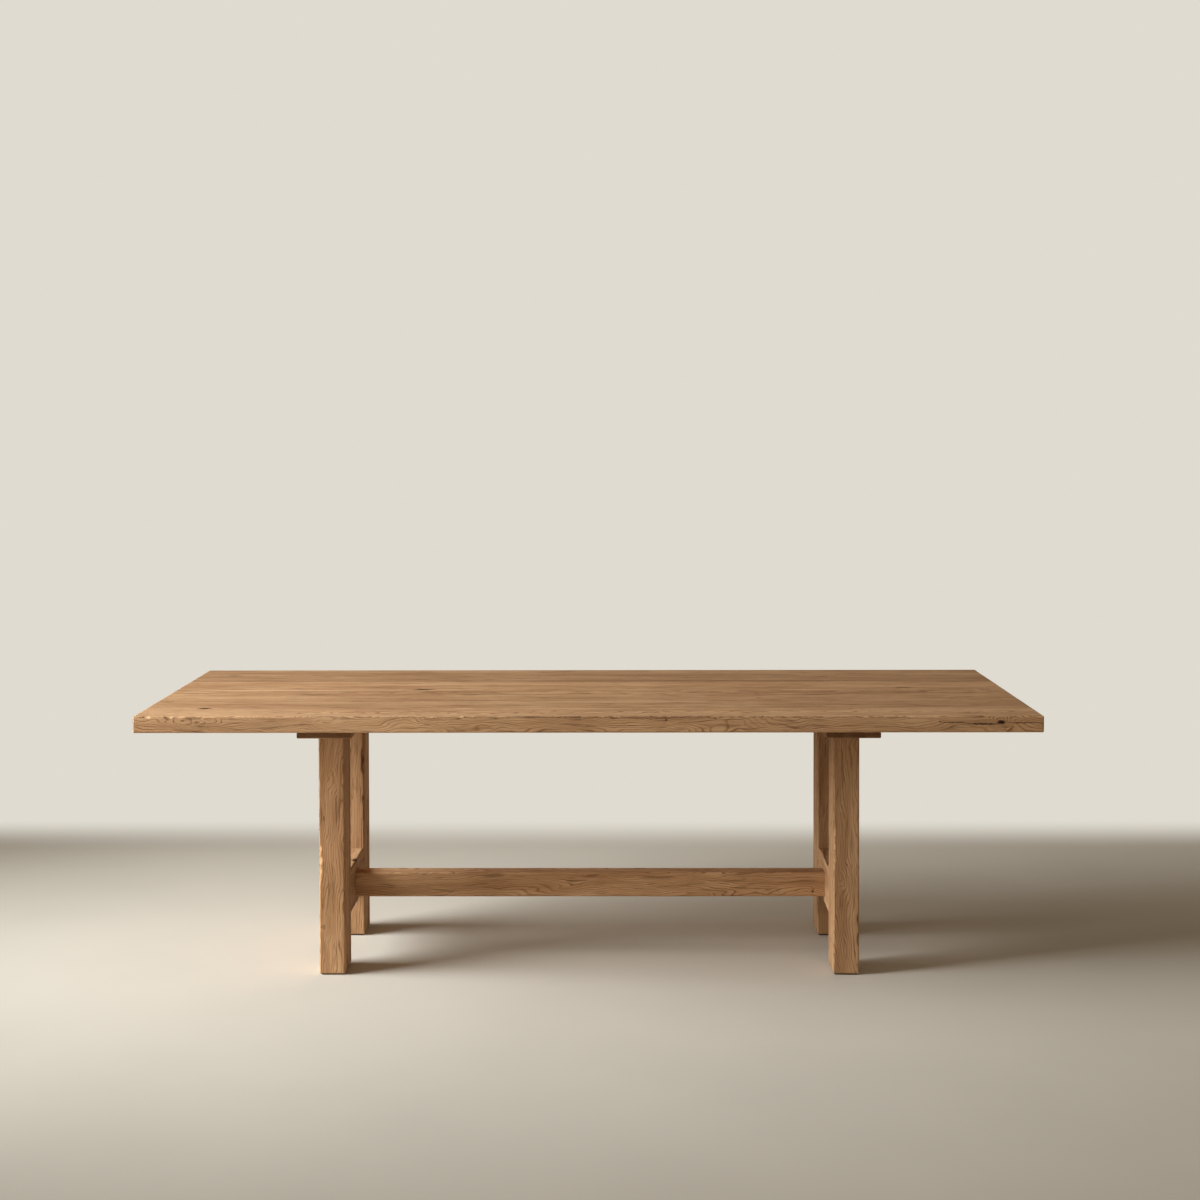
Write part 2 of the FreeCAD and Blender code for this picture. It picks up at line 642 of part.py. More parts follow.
os.makedirs("parts", exist_ok=True)
for piece in pieces:
    piece.Shape.exportStep("parts/%s.step" % piece.Label)
    print("%-28s %d solid(s)  %12.1f mm3" % (
        piece.Label, len(piece.Shape.Solids), piece.Shape.Volume))
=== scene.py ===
import math

import bmesh
import bpy
from mathutils import Matrix, Vector, noise


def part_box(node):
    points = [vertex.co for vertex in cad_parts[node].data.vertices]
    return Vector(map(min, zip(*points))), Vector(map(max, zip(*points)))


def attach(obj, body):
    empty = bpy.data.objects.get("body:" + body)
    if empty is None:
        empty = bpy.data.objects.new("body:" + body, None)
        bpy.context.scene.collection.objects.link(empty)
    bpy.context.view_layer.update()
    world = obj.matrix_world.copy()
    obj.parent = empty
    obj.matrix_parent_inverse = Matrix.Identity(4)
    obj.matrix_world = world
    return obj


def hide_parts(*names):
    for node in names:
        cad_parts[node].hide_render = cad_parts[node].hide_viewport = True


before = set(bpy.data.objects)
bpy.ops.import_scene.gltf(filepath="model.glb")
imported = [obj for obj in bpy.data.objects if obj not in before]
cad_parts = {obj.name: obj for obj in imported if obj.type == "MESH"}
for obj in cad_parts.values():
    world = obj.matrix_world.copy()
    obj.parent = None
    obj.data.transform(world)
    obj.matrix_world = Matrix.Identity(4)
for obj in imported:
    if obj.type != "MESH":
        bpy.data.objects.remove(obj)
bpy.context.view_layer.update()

bl_info = {
    "name": "Trestle dining table",
    "version": (1, 0, 0),
    "blender": (4, 5, 0),
    "location": "View3D > Sidebar > Table",
    "description": "Dresses the solids of an oak trestle table as planed and oiled timber",
    "category": "Object",
}

# Axes and the two faces that a timber has on each.
X, Y, Z = 0, 1, 2
LOW, HIGH = -1, 1
LEFT, RIGHT, FRONT, BACK = (X, LOW), (X, HIGH), (Y, LOW), (Y, HIGH)
UNDER, OVER = (Z, LOW), (Z, HIGH)
ALL_FACES = (LEFT, RIGHT, FRONT, BACK, UNDER, OVER)

MM = 0.001
WELD = 0.002 * MM
EASING = 2 * MM
# Lines ruled beside every arris, and the widest strip left between them.
ARRIS_LINES = [line * MM for line in (1.1, 2.3, 3.6, 4.9, 6.2, 7.7, 9.5, 12.0)]
WIDEST_STRIP = 26 * MM
# A stroke this deep or deeper is a chip, and a dark line of painted shade, partly grime, runs this
# wide along its rim.
CHIP_DEPTH = 1.4 * MM
RIM_SHADE_WIDTH = 2.0 * MM


def linear(code):
    """Linear colour of an sRGB hex code."""
    channels = [int(code[i:i + 2], 16) / 255 for i in (0, 2, 4)]
    return tuple(c / 12.92 if c <= 0.04045 else ((c + 0.055) / 1.055) ** 2.4
                 for c in channels)


def add(tree, kind, inputs=(), **settings):
    """Add a node with its settings and links, and give its first output.

    Inputs are values or sockets, by name in a dict or in the order that the node shows.
    """
    node = tree.nodes.new(kind)
    for name, setting in settings.items():
        setattr(node, name, setting)
    if not isinstance(inputs, dict):
        shown = [socket for socket in node.inputs if socket.enabled]
        inputs = dict(zip((list(node.inputs).index(socket) for socket in shown), inputs))
    for key, given in inputs.items():
        if isinstance(given, bpy.types.NodeSocket):
            tree.links.new(given, node.inputs[key])
        else:
            node.inputs[key].default_value = given
    return next((socket for socket in node.outputs if socket.enabled), None)


# ------------------------------------------------------------------- settings

class OakSettings(bpy.types.PropertyGroup):
    earlywood: bpy.props.FloatVectorProperty(
        name="Earlywood", description="Porous wood at the start of a growth ring",
        subtype="COLOR", size=3, min=0, max=1, default=linear("83593a"))
    heartwood: bpy.props.FloatVectorProperty(
        name="Heartwood", description="Middle tone of the oiled oak",
        subtype="COLOR", size=3, min=0, max=1, default=linear("ab825c"))
    latewood: bpy.props.FloatVectorProperty(
        name="Latewood", description="Dense wood at the end of a growth ring",
        subtype="COLOR", size=3, min=0, max=1, default=linear("c9a179"))
    # This colour also paints shade along the chip rims and on the front edge of the top.
    knot: bpy.props.FloatVectorProperty(
        name="Knots", description="Knots, checks and ink-dark bark pockets",
        subtype="COLOR", size=3, min=0, max=1, default=linear("2b1c11"))
    wear: bpy.props.FloatProperty(
        name="Arris wear", description="How far hand sanding has taken the arrises back",
        subtype="DISTANCE", unit="LENGTH", min=0, max=0.003, default=0.7 * MM)
    plane_marks: bpy.props.FloatProperty(
        name="Plane marks", description="Depth of the slow waves that planing leaves",
        subtype="DISTANCE", unit="LENGTH", min=0, max=0.001, default=0.25 * MM)


class FastenerSettings(bpy.types.PropertyGroup):
    bolt_head: bpy.props.FloatProperty(
        name="Bolt head", description="Diameter of the socket head",
        subtype="DISTANCE", unit="LENGTH", default=16 * MM)
    bolt_head_height: bpy.props.FloatProperty(
        name="Bolt head height", description="Height of the socket head",
        subtype="DISTANCE", unit="LENGTH", default=10 * MM)
    bolt_shank: bpy.props.FloatProperty(
        name="Bolt", description="Diameter of the stretcher bolts",
        subtype="DISTANCE", unit="LENGTH", default=10 * MM)
    bolt_socket: bpy.props.FloatProperty(
        name="Hexagon socket", description="Width of the socket across its flats",
        subtype="DISTANCE", unit="LENGTH", default=8 * MM)
    screw_head: bpy.props.FloatProperty(
        name="Screw head", description="Diameter of the pan head",
        subtype="DISTANCE", unit="LENGTH", default=12 * MM)
    screw_head_height: bpy.props.FloatProperty(
        name="Screw head height", description="Height of the pan head",
        subtype="DISTANCE", unit="LENGTH", default=4 * MM)
    screw_shank: bpy.props.FloatProperty(
        name="Screw", description="Diameter of the screws",
        subtype="DISTANCE", unit="LENGTH", default=6 * MM)
    screw_drive: bpy.props.FloatProperty(
        name="Square drive", description="Width of the drive in the screw head",
        subtype="DISTANCE", unit="LENGTH", default=3 * MM)


class StageSettings(bpy.types.PropertyGroup):
    floor: bpy.props.FloatVectorProperty(
        name="Floor", description="Colour of the floor",
        subtype="COLOR", size=3, min=0, max=1, default=linear("cfc8bc"))
    backdrop: bpy.props.FloatVectorProperty(
        name="Backdrop", description="Colour that the floor fades into",
        subtype="COLOR", size=3, min=0, max=1, default=linear("e0dbd0"))
    window_power: bpy.props.FloatProperty(
        name="Window", description="Power of the large soft light on the left",
        subtype="POWER", unit="POWER", min=0, default=114)
    fill: bpy.props.FloatProperty(
        name="Fill", description="Level of the light from the walls all round", min=0,
        max=2, default=0.43)
    ceiling: bpy.props.FloatProperty(
        name="Ceiling", description="Level of the light from overhead", min=0, max=2,
        default=0.12)


# ------------------------------------------------------------------ materials

def mark_group():
    """Shading group of one mark in the wood: a knot, a check, a stain or a pale patch.

    It is an ellipsoid about a centre.  Shade is 1 in its core, and Push bends the growth
    rings round it.
    """
    name = "Mark_in_wood"
    if name in bpy.data.node_groups:
        return bpy.data.node_groups[name]
    group = bpy.data.node_groups.new(name, "ShaderNodeTree")
    for title, kind in (("Ragged", "NodeSocketVector"), ("Drifted", "NodeSocketVector"),
                        ("Centre", "NodeSocketVector"), ("Radii", "NodeSocketVector"),
                        ("Strength", "NodeSocketFloat"), ("Rings", "NodeSocketFloat")):
        group.interface.new_socket(title, in_out="INPUT", socket_type=kind)
    for title in ("Shade", "Push"):
        group.interface.new_socket(title, in_out="OUTPUT", socket_type="NodeSocketFloat")
    given = group.nodes.new("NodeGroupInput").outputs
    results = []
    for place, outer, inner, share in (("Ragged", 1.15, 0.35, "Strength"),
                                       ("Drifted", 3.4, 0.2, "Rings")):
        offset = add(group, "ShaderNodeVectorMath", [given[place], given["Centre"]],
                     operation="SUBTRACT")
        scaled = add(group, "ShaderNodeVectorMath", [offset, given["Radii"]],
                     operation="DIVIDE")
        distance = add(group, "ShaderNodeVectorMath", [scaled], operation="LENGTH")
        core = add(group, "ShaderNodeMapRange", [distance, outer, inner, 0.0, 1.0],
                   interpolation_type="SMOOTHSTEP")
        results.append(add(group, "ShaderNodeMath", [core, given[share]],
                           operation="MULTIPLY"))
    add(group, "NodeGroupOutput", {"Shade": results[0], "Push": results[1]})
    return group


def marks_on(tree, ragged, drifted, marks):
    """Deepest shade and sum of the ring pushes of several marks, or None without any."""
    shade, push = None, None
    for centre, radii, strength, rings in marks:
        node = tree.nodes.new("ShaderNodeGroup")
        node.node_tree = mark_group()
        tree.links.new(ragged, node.inputs["Ragged"])
        tree.links.new(drifted, node.inputs["Drifted"])
        node.inputs["Centre"].default_value = centre
        node.inputs["Radii"].default_value = radii
        node.inputs["Strength"].default_value = strength
        node.inputs["Rings"].default_value = rings
        one_shade, one_push = node.outputs["Shade"], node.outputs["Push"]
        if shade is None:
            shade, push = one_shade, one_push
        else:
            shade = add(tree, "ShaderNodeMath", [shade, one_shade], operation="MAXIMUM")
            push = add(tree, "ShaderNodeMath", [push, one_push], operation="ADD")
    return shade, push


def noise_in(tree, place, stretch, offset=(0, 0, 0), detail=2.0):
    """Noise texture with so many features a metre along each axis of a place."""
    drawn = add(tree, "ShaderNodeVectorMath", [place, stretch, offset],
                operation="MULTIPLY_ADD")
    return add(tree, "ShaderNodeTexNoise", {"Vector": drawn, "Scale": 1.0,
                                            "Detail": detail}).node


def shifted(tree, place, noise_node, reach):
    """A place moved by a noise texture, by about so far along each axis."""
    moved = add(tree, "ShaderNodeVectorMath",
                [noise_node.outputs["Color"], [5 * r for r in reach],
                 [-2.5 * r for r in reach]], operation="MULTIPLY_ADD")
    return add(tree, "ShaderNodeVectorMath", [place, moved], operation="ADD")


def oiled_oak(name, log, knots=(), pale=()):
    """Solid oak, planed, sanded and oiled.

    Growth rings about the pith of each timber's own log give cathedrals, straight grain and
    end grain where its faces cut them.  The first wood of a ring is a thin dark porous line.
    Open pores, drawn about three times too coarse so that they show, and slow streaks give
    the fibre, and the oil leaves it matte.
    """
    oak = bpy.context.scene.table_oak
    tone = log.get("tone", 1.0)
    material = bpy.data.materials.new(name)
    material.use_nodes = True
    tree = material.node_tree
    surface = tree.nodes["Principled BSDF"]
    place = add(tree, "ShaderNodeTexCoord").node.outputs["Object"]
    grain = Vector(log["grain"]).normalized()
    in_log = add(tree, "ShaderNodeMapping",
                 {"Vector": place, "Location": log["pith"],
                  "Rotation": grain.to_track_quat("X", "Z").to_euler()},
                 vector_type="TEXTURE")
    seed = (log["seed"], log["seed"] * 1.7, log["seed"] * 2.3)

    # Fibres wander along the log: slowly, then in curls, then in ripples.
    fibre = in_log
    for stretch, reach in ((log.get("waves", (2.2, 8, 8)), log["wander"]),
                           (log.get("curls", (12, 34, 34)), log["curl"]),
                           ((48, 130, 130), log["curl"] * 0.16)):
        fibre = shifted(tree, fibre, noise_in(tree, in_log, stretch, seed),
                        (0, reach, reach))
    across = add(tree, "ShaderNodeVectorMath", [fibre, (0, 1, 1)], operation="MULTIPLY")
    radius = add(tree, "ShaderNodeVectorMath", [across], operation="LENGTH")
    rings = add(tree, "ShaderNodeMath", [radius, 1 / log["ring"], log["seed"]],
                operation="MULTIPLY_ADD")

    # Marks have ragged outlines, and the rings drift round them.
    ragged = shifted(tree, place, noise_in(tree, place, (90, 90, 90)), (1.5 * MM,) * 3)
    drifted = shifted(tree, place, noise_in(tree, place, (16, 30, 30)), (7 * MM,) * 3)
    dark, push = marks_on(tree, ragged, drifted, knots)
    light, _ = marks_on(tree, ragged, drifted, pale)
    if push is not None:
        rings = add(tree, "ShaderNodeMath", [rings, push], operation="ADD")

    # A ring starts with a dark porous line that is plainer in some years than in others.
    phase = add(tree, "ShaderNodeMath", [rings], operation="FRACT")
    line = add(tree, "ShaderNodeValToRGB", [phase])
    stops = line.node.color_ramp.elements
    stops[0].position, stops[0].color = 0.0, (0.45, 0.45, 0.45, 1)
    stops[1].position, stops[1].color = 1.0, (0.45, 0.45, 0.45, 1)
    for position, level in ((0.09, 1.0), (0.20, 0.5), (0.38, 0.1), (0.90, 0.0)):
        stop = stops.new(position)
        stop.color = (level, level, level, 1)
    number = add(tree, "ShaderNodeMath", [rings], operation="FLOOR")
    year = add(tree, "ShaderNodeTexWhiteNoise", {"W": number}, noise_dimensions="1D")

    levels = []
    for stretch, detail, low, high in (((1.3, 22, 22), 4.0, 0.34, 0.66),
                                       ((3.6, 9, 9), 2.0, 0.32, 0.68),
                                       ((5, 70, 70), 3.0, 0.34, 0.66),
                                       ((26, 420, 420), 2.0, 0.30, 0.70),
                                       (log.get("dashes", (10, 150, 150)), 1.0, 0.58,
                                        0.70),
                                       ((48, 900, 900), 1.0, 0.54, 0.68)):
        wave = noise_in(tree, fibre, stretch, seed, detail).outputs[0]
        levels.append(add(tree, "ShaderNodeMapRange", [wave, low, high, 0.0, 1.0]))
    streak, patch, brush, thread, check, pore = levels
    plain = add(tree, "ShaderNodeMath", [year, 0.6, 0.4], operation="MULTIPLY_ADD")
    line = add(tree, "ShaderNodeMath", [line, plain], operation="MULTIPLY")
    fading = add(tree, "ShaderNodeMath", [brush, 0.8, 0.45], operation="MULTIPLY_ADD")
    line = add(tree, "ShaderNodeMath", [line, fading], operation="MULTIPLY")

    tint = None
    for level, share, middle in ((line, -log.get("figure", 0.55), 0.25),
                                 (streak, log.get("streaks", 0.5), 0.5), (patch, 0.22, 0.5),
                                 (brush, log.get("brush", 0.30), 0.5),
                                 (thread, 0.14, 0.5)):
        part = add(tree, "ShaderNodeMath", [level, share, -share * middle],
                   operation="MULTIPLY_ADD")
        tint = part if tint is None else add(tree, "ShaderNodeMath", [tint, part],
                                             operation="ADD")
    tint = add(tree, "ShaderNodeMath", [tint, 0.5], operation="ADD")
    wood = add(tree, "ShaderNodeValToRGB", [tint])
    stops = wood.node.color_ramp.elements
    shades = [tuple(tone * c for c in colour) + (1,)
              for colour in (oak.earlywood, oak.heartwood, oak.latewood)]
    stops[0].position, stops[0].color = 0.0, shades[0]
    stops[1].position, stops[1].color = 1.0, shades[2]
    stops.new(0.5).color = shades[1]

    if light is not None:
        wood = add(tree, "ShaderNodeMix", [light, wood, (*linear("d3ad86"), 1)],
                   data_type="RGBA")
    pore = add(tree, "ShaderNodeMath", [pore, line], operation="MULTIPLY")
    shadow = add(tree, "ShaderNodeMath", [pore, 0.5], operation="MULTIPLY")
    shadow = add(tree, "ShaderNodeMath", [check, 0.38, shadow], operation="MULTIPLY_ADD")
    wood = add(tree, "ShaderNodeMix", [shadow, wood, (*linear("4f341f"), 1)],
               data_type="RGBA")

    # End grain drinks the oil and goes darker.
    square = add(tree, "ShaderNodeAttribute", attribute_name="end_grain").node.outputs["Fac"]
    cut = add(tree, "ShaderNodeMath", [square, 0.7], operation="MULTIPLY")
    wood = add(tree, "ShaderNodeMix", [cut, wood, (*linear("5f4028"), 1)], data_type="RGBA")
    # A dark line along each chip's rim is painted shade, partly grime.
    rim = add(tree, "ShaderNodeAttribute", attribute_name="chip_rim_shade_and_grime").node.outputs["Fac"]
    rim = add(tree, "ShaderNodeMath", [rim, 0.5], operation="MULTIPLY")
    wood = add(tree, "ShaderNodeMix", [rim, wood, (*oak.knot, 1)], data_type="RGBA")
    # Knots and checks darken the wood, and the same colour paints shade along the top's front
    # edge.
    if dark is not None:
        wood = add(tree, "ShaderNodeMix", [dark, wood, (*oak.knot, 1)], data_type="RGBA")
    tree.links.new(wood, surface.inputs["Base Color"])

    # Ring lines, pores and checks lie lower than the dense wood.
    height = add(tree, "ShaderNodeMath", [line, -0.7, 0.0], operation="MULTIPLY_ADD")
    height = add(tree, "ShaderNodeMath", [pore, -0.6, height], operation="MULTIPLY_ADD")
    height = add(tree, "ShaderNodeMath", [check, -1.0, height], operation="MULTIPLY_ADD")
    height = add(tree, "ShaderNodeMath", [thread, 0.2, height], operation="MULTIPLY_ADD")
    bump = add(tree, "ShaderNodeBump", {"Height": height, "Strength": 0.7,
                                        "Distance": 0.5 * MM})
    tree.links.new(bump, surface.inputs["Normal"])
    rough = add(tree, "ShaderNodeMapRange", [thread, 0.0, 1.0, 0.90, 0.76])
    tree.links.new(rough, surface.inputs["Roughness"])
    surface.inputs["IOR"].default_value = 1.47
    surface.inputs["Specular IOR Level"].default_value = 0.18
    return material


def zinc_steel():
    """Turned steel, bright zinc plated: cool pale grey, satin, with fine turning marks."""
    material = bpy.data.materials.new("Zinc_plated_steel")
    material.use_nodes = True
    tree = material.node_tree
    surface = tree.nodes["Principled BSDF"]
    surface.inputs["Metallic"].default_value = 1.0
    add(tree, "ShaderNodeTexCoord")
    place = tree.nodes[-1].outputs["Object"]
    spangle = add(tree, "ShaderNodeTexNoise", {"Vector": place, "Scale": 700.0,
                                               "Detail": 3.0})
    colour = add(tree, "ShaderNodeMix", [spangle, (*linear("a9abac"), 1),
                                         (*linear("c6c7c4"), 1)], data_type="RGBA")
    tree.links.new(colour, surface.inputs["Base Color"])
    rough = add(tree, "ShaderNodeMapRange", [spangle, 0.3, 0.7, 0.28, 0.44])
    tree.links.new(rough, surface.inputs["Roughness"])
    bump = add(tree, "ShaderNodeBump", {"Height": spangle, "Strength": 0.2,
                                        "Distance": 0.05 * MM})
    tree.links.new(bump, surface.inputs["Normal"])
    return material


def pressed_felt():
    """Pressed wool felt: dark brown, without gloss, with short tangled fibres."""
    material = bpy.data.materials.new("Pressed_wool_felt")
    material.use_nodes = True
    tree = material.node_tree
    surface = tree.nodes["Principled BSDF"]
    add(tree, "ShaderNodeTexCoord")
    place = tree.nodes[-1].outputs["Object"]
    fibre = add(tree, "ShaderNodeTexNoise", {"Vector": place, "Scale": 900.0, "Detail": 6.0,
                                             "Distortion": 1.5})
    colour = add(tree, "ShaderNodeMix", [fibre, (*linear("2a221c"), 1),
                                         (*linear("54463a"), 1)], data_type="RGBA")
    tree.links.new(colour, surface.inputs["Base Color"])
    bump = add(tree, "ShaderNodeBump", {"Height": fibre, "Strength": 0.8,
                                        "Distance": 0.4 * MM})
    tree.links.new(bump, surface.inputs["Normal"])
    surface.inputs["Roughness"].default_value = 0.95
    surface.inputs["Sheen Weight"].default_value = 0.25
    return material


# ------------------------------------------------------------- worked timber

def merged(node):
    """Copy of a node's mesh with its triangles joined and its flat faces whole."""
    bm = bmesh.new()
    bm.from_mesh(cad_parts[node].data)
    bmesh.ops.remove_doubles(bm, verts=bm.verts[:], dist=WELD)
    bmesh.ops.dissolve_limit(bm, angle_limit=math.radians(0.5), verts=bm.verts[:],
                             edges=bm.edges[:])
    return bm


def rule(bm, axis, places):
    """Cut a mesh square to an axis at each place, from its low end to its high end."""
    square = Vector((0, 0, 0))
    square[axis] = 1
    ahead = bm.faces[:]
    for place in sorted(places):
        near = set(ahead)
        for face in ahead:
            near.update(face.edges)
            near.update(face.verts)
        cut = bmesh.ops.bisect_plane(bm, geom=list(near), dist=WELD,
                                     plane_co=square * place, plane_no=square)
        ahead = [face for face in cut["geom"] if isinstance(face, bmesh.types.BMFace)
                 and max(v.co[axis] for v in face.verts) > place + WELD]


def spread(low, high, step):
    """Even places between two ends, no further apart than a step."""
    count = max(1, math.ceil((high - low) / step))
    return [low + (high - low) * i / count for i in range(1, count)]


def scoop(place, start, end):
    """Depth of one gouge stroke: 0 at its two ends, 1 in its middle."""
    t = (2 * place - start - end) / (end - start)
    return max(0, 1 - t * t) ** 0.7


def wear_at(point, pair, along, chips):
    """How far the arris between two faces has gone back at a point."""
    oak = bpy.context.scene.table_oak
    swing = noise.noise(point * 34) * 0.5 + 0.5
    torn = 0.9 + 0.35 * noise.noise(point * 120)
    strokes = [deepest * torn * scoop(point[along], start, end)
               for faces, start, end, deepest in chips if set(faces) == set(pair)]
    return max([oak.wear * (0.35 + 0.9 * swing)] + strokes)


def work_timber(name, node, material, grain, step, bare=ALL_FACES, body=None,
                chips=(), knots=(), seams=()):
    """Dress a timber: ease its seams, wear its bare arrises and sink its knots."""
    oak = bpy.context.scene.table_oak
    low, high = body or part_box(node)
    bm = merged(node)
    for axis, place in seams:
        edges = [edge for edge in bm.edges
                 if all(abs(v.co[axis] - place) < WELD and
                        min(abs(v.co.z - low.z), abs(v.co.z - high.z)) < WELD
                        for v in edge.verts)
                 and edge.calc_length() > 0.5]
        bmesh.ops.bevel(bm, geom=edges, offset=0.35 * MM, segments=1, affect="EDGES",
                        profile=0.5)
    for axis in (X, Y, Z):
        ends = [low[axis] + line for line in ARRIS_LINES]
        ends += [high[axis] - line for line in ARRIS_LINES]
        inner = spread(low[axis] + ARRIS_LINES[-1], high[axis] - ARRIS_LINES[-1],
                       step if axis == grain else WIDEST_STRIP)
        rule(bm, axis, ends + inner)

    bm.verts.index_update()

    def gap(point, face):
        axis, side = face
        return point[axis] - low[axis] if side == LOW else high[axis] - point[axis]

    rims = {}
    for vert in bm.verts:
        point = vert.co.copy()
        if any(gap(point, face) < -WELD for face in ALL_FACES):
            continue
        near = sorted(bare, key=lambda face: gap(point, face))
        first = near[0]
        second = next(face for face in near if face[0] != first[0])
        inward = Vector((0, 0, 0))
        along = 3 - first[0] - second[0]
        corner = gap(point, first) + gap(point, second)
        if corner < ARRIS_LINES[-1]:
            wear = wear_at(point, (first, second), along, chips)
            room = EASING + 1.414 * wear - corner
            # Along a chip's rim the wood is marked for a dark line of painted shade, partly grime.
            if wear > CHIP_DEPTH:
                rims[vert.index] = max(0, 1 - abs(room) / RIM_SHADE_WIDTH)
            if room > 0:
                inward[first[0]] -= first[1] * room / 2
                inward[second[0]] -= second[1] * room / 2
        if gap(point, first) < WELD:
            wave = 0.5 + 0.5 * noise.noise(point * 9)
            inward[first[0]] -= first[1] * oak.plane_marks * wave
            for centre, radii, strength, rings in knots:
                reach = Vector((point - Vector(centre))[i] / radii[i] for i in range(3))
                if reach.length < 1 and strength > 0.6:
                    sunk = 1.6 * MM * (1 - reach.length_squared) ** 2
                    inward[first[0]] -= first[1] * sunk
        vert.co = point + inward

    mesh = bpy.data.meshes.new(name)
    bm.to_mesh(mesh)
    bm.free()
    mesh.polygons.foreach_set("use_smooth", [True] * len(mesh.polygons))
    mesh.set_sharp_from_angle(angle=math.radians(20))
    if not mesh.polygons:
        raise RuntimeError(name + " came out empty")
    end_grain = mesh.attributes.new("end_grain", "FLOAT", "POINT")
    end_grain.data.foreach_set("value", [min(1, max(0, (abs(v.normal[grain]) - 0.55) / 0.35))
                                         for v in mesh.vertices])
    chip_rim_shade_and_grime = mesh.attributes.new("chip_rim_shade_and_grime", "FLOAT", "POINT")
    chip_rim_shade_and_grime.data.foreach_set("value", [rims.get(v.index, 0.0) for v in mesh.vertices])
    mesh.materials.append(material)
    piece = bpy.data.objects.new(name, mesh)
    bpy.context.scene.collection.objects.link(piece)
    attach(piece, "root")
    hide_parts(node)
    return piece


# ----------------------------------------------------- what each timber is like

TOP_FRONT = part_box("top_board_1")[0].y
TOP_UNDER, TOP_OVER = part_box("top_board_1")[0].z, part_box("top_board_1")[1].z
MID_TOP = (TOP_UNDER + TOP_OVER) / 2

# Straight-grained boards: soft streaks and short dark dashes more than ring lines.
PLAIN_BOARD = dict(figure=0.70, streaks=0.28, brush=0.32, dashes=(12, 90, 90))

# The logs of the top boards: where the pith runs, and how far the rings wander from it.  A
# pith level with a board and well to one side of it gives straight grain above and loops
# along the edge.
BOARDS = {
    1: dict(pith=(0, TOP_FRONT + 0.064, MID_TOP - 0.038), grain=(1, 0.010, 0.008),
            ring=3.4 * MM, wander=10.5 * MM, waves=(3.8, 13, 13), curl=1.4 * MM,
            curls=(9, 30, 30), seed=3.1, tone=1.04, figure=1.25, streaks=0.3),
    2: dict(pith=(0, -0.44, MID_TOP - 0.03), grain=(1, -0.012, 0.003), ring=5.0 * MM,
            wander=7 * MM, curl=1.5 * MM, seed=11.7, tone=0.98, **PLAIN_BOARD),
    3: dict(pith=(0, -0.02, MID_TOP - 0.07), grain=(1, 0.014, -0.006), ring=6 * MM,
            wander=10 * MM, curl=2.0 * MM, seed=20.3, tone=1.0, **PLAIN_BOARD),
    4: dict(pith=(0, 0.30, MID_TOP - 0.06), grain=(1, 0.012, 0.004), ring=5 * MM,
            wander=8 * MM, curl=1.8 * MM, seed=31.9, tone=1.08, **PLAIN_BOARD),
    5: dict(pith=(0, 0.05, MID_TOP + 0.05), grain=(1, -0.008, 0.002), ring=5 * MM,
            wander=7 * MM, curl=1.4 * MM, seed=44.2, tone=0.90, **PLAIN_BOARD),
    6: dict(pith=(0, 0.62, MID_TOP - 0.02), grain=(1, 0.008, 0.004), ring=5 * MM,
            wander=7 * MM, curl=1.5 * MM, seed=57.6, tone=0.95, **PLAIN_BOARD),
}
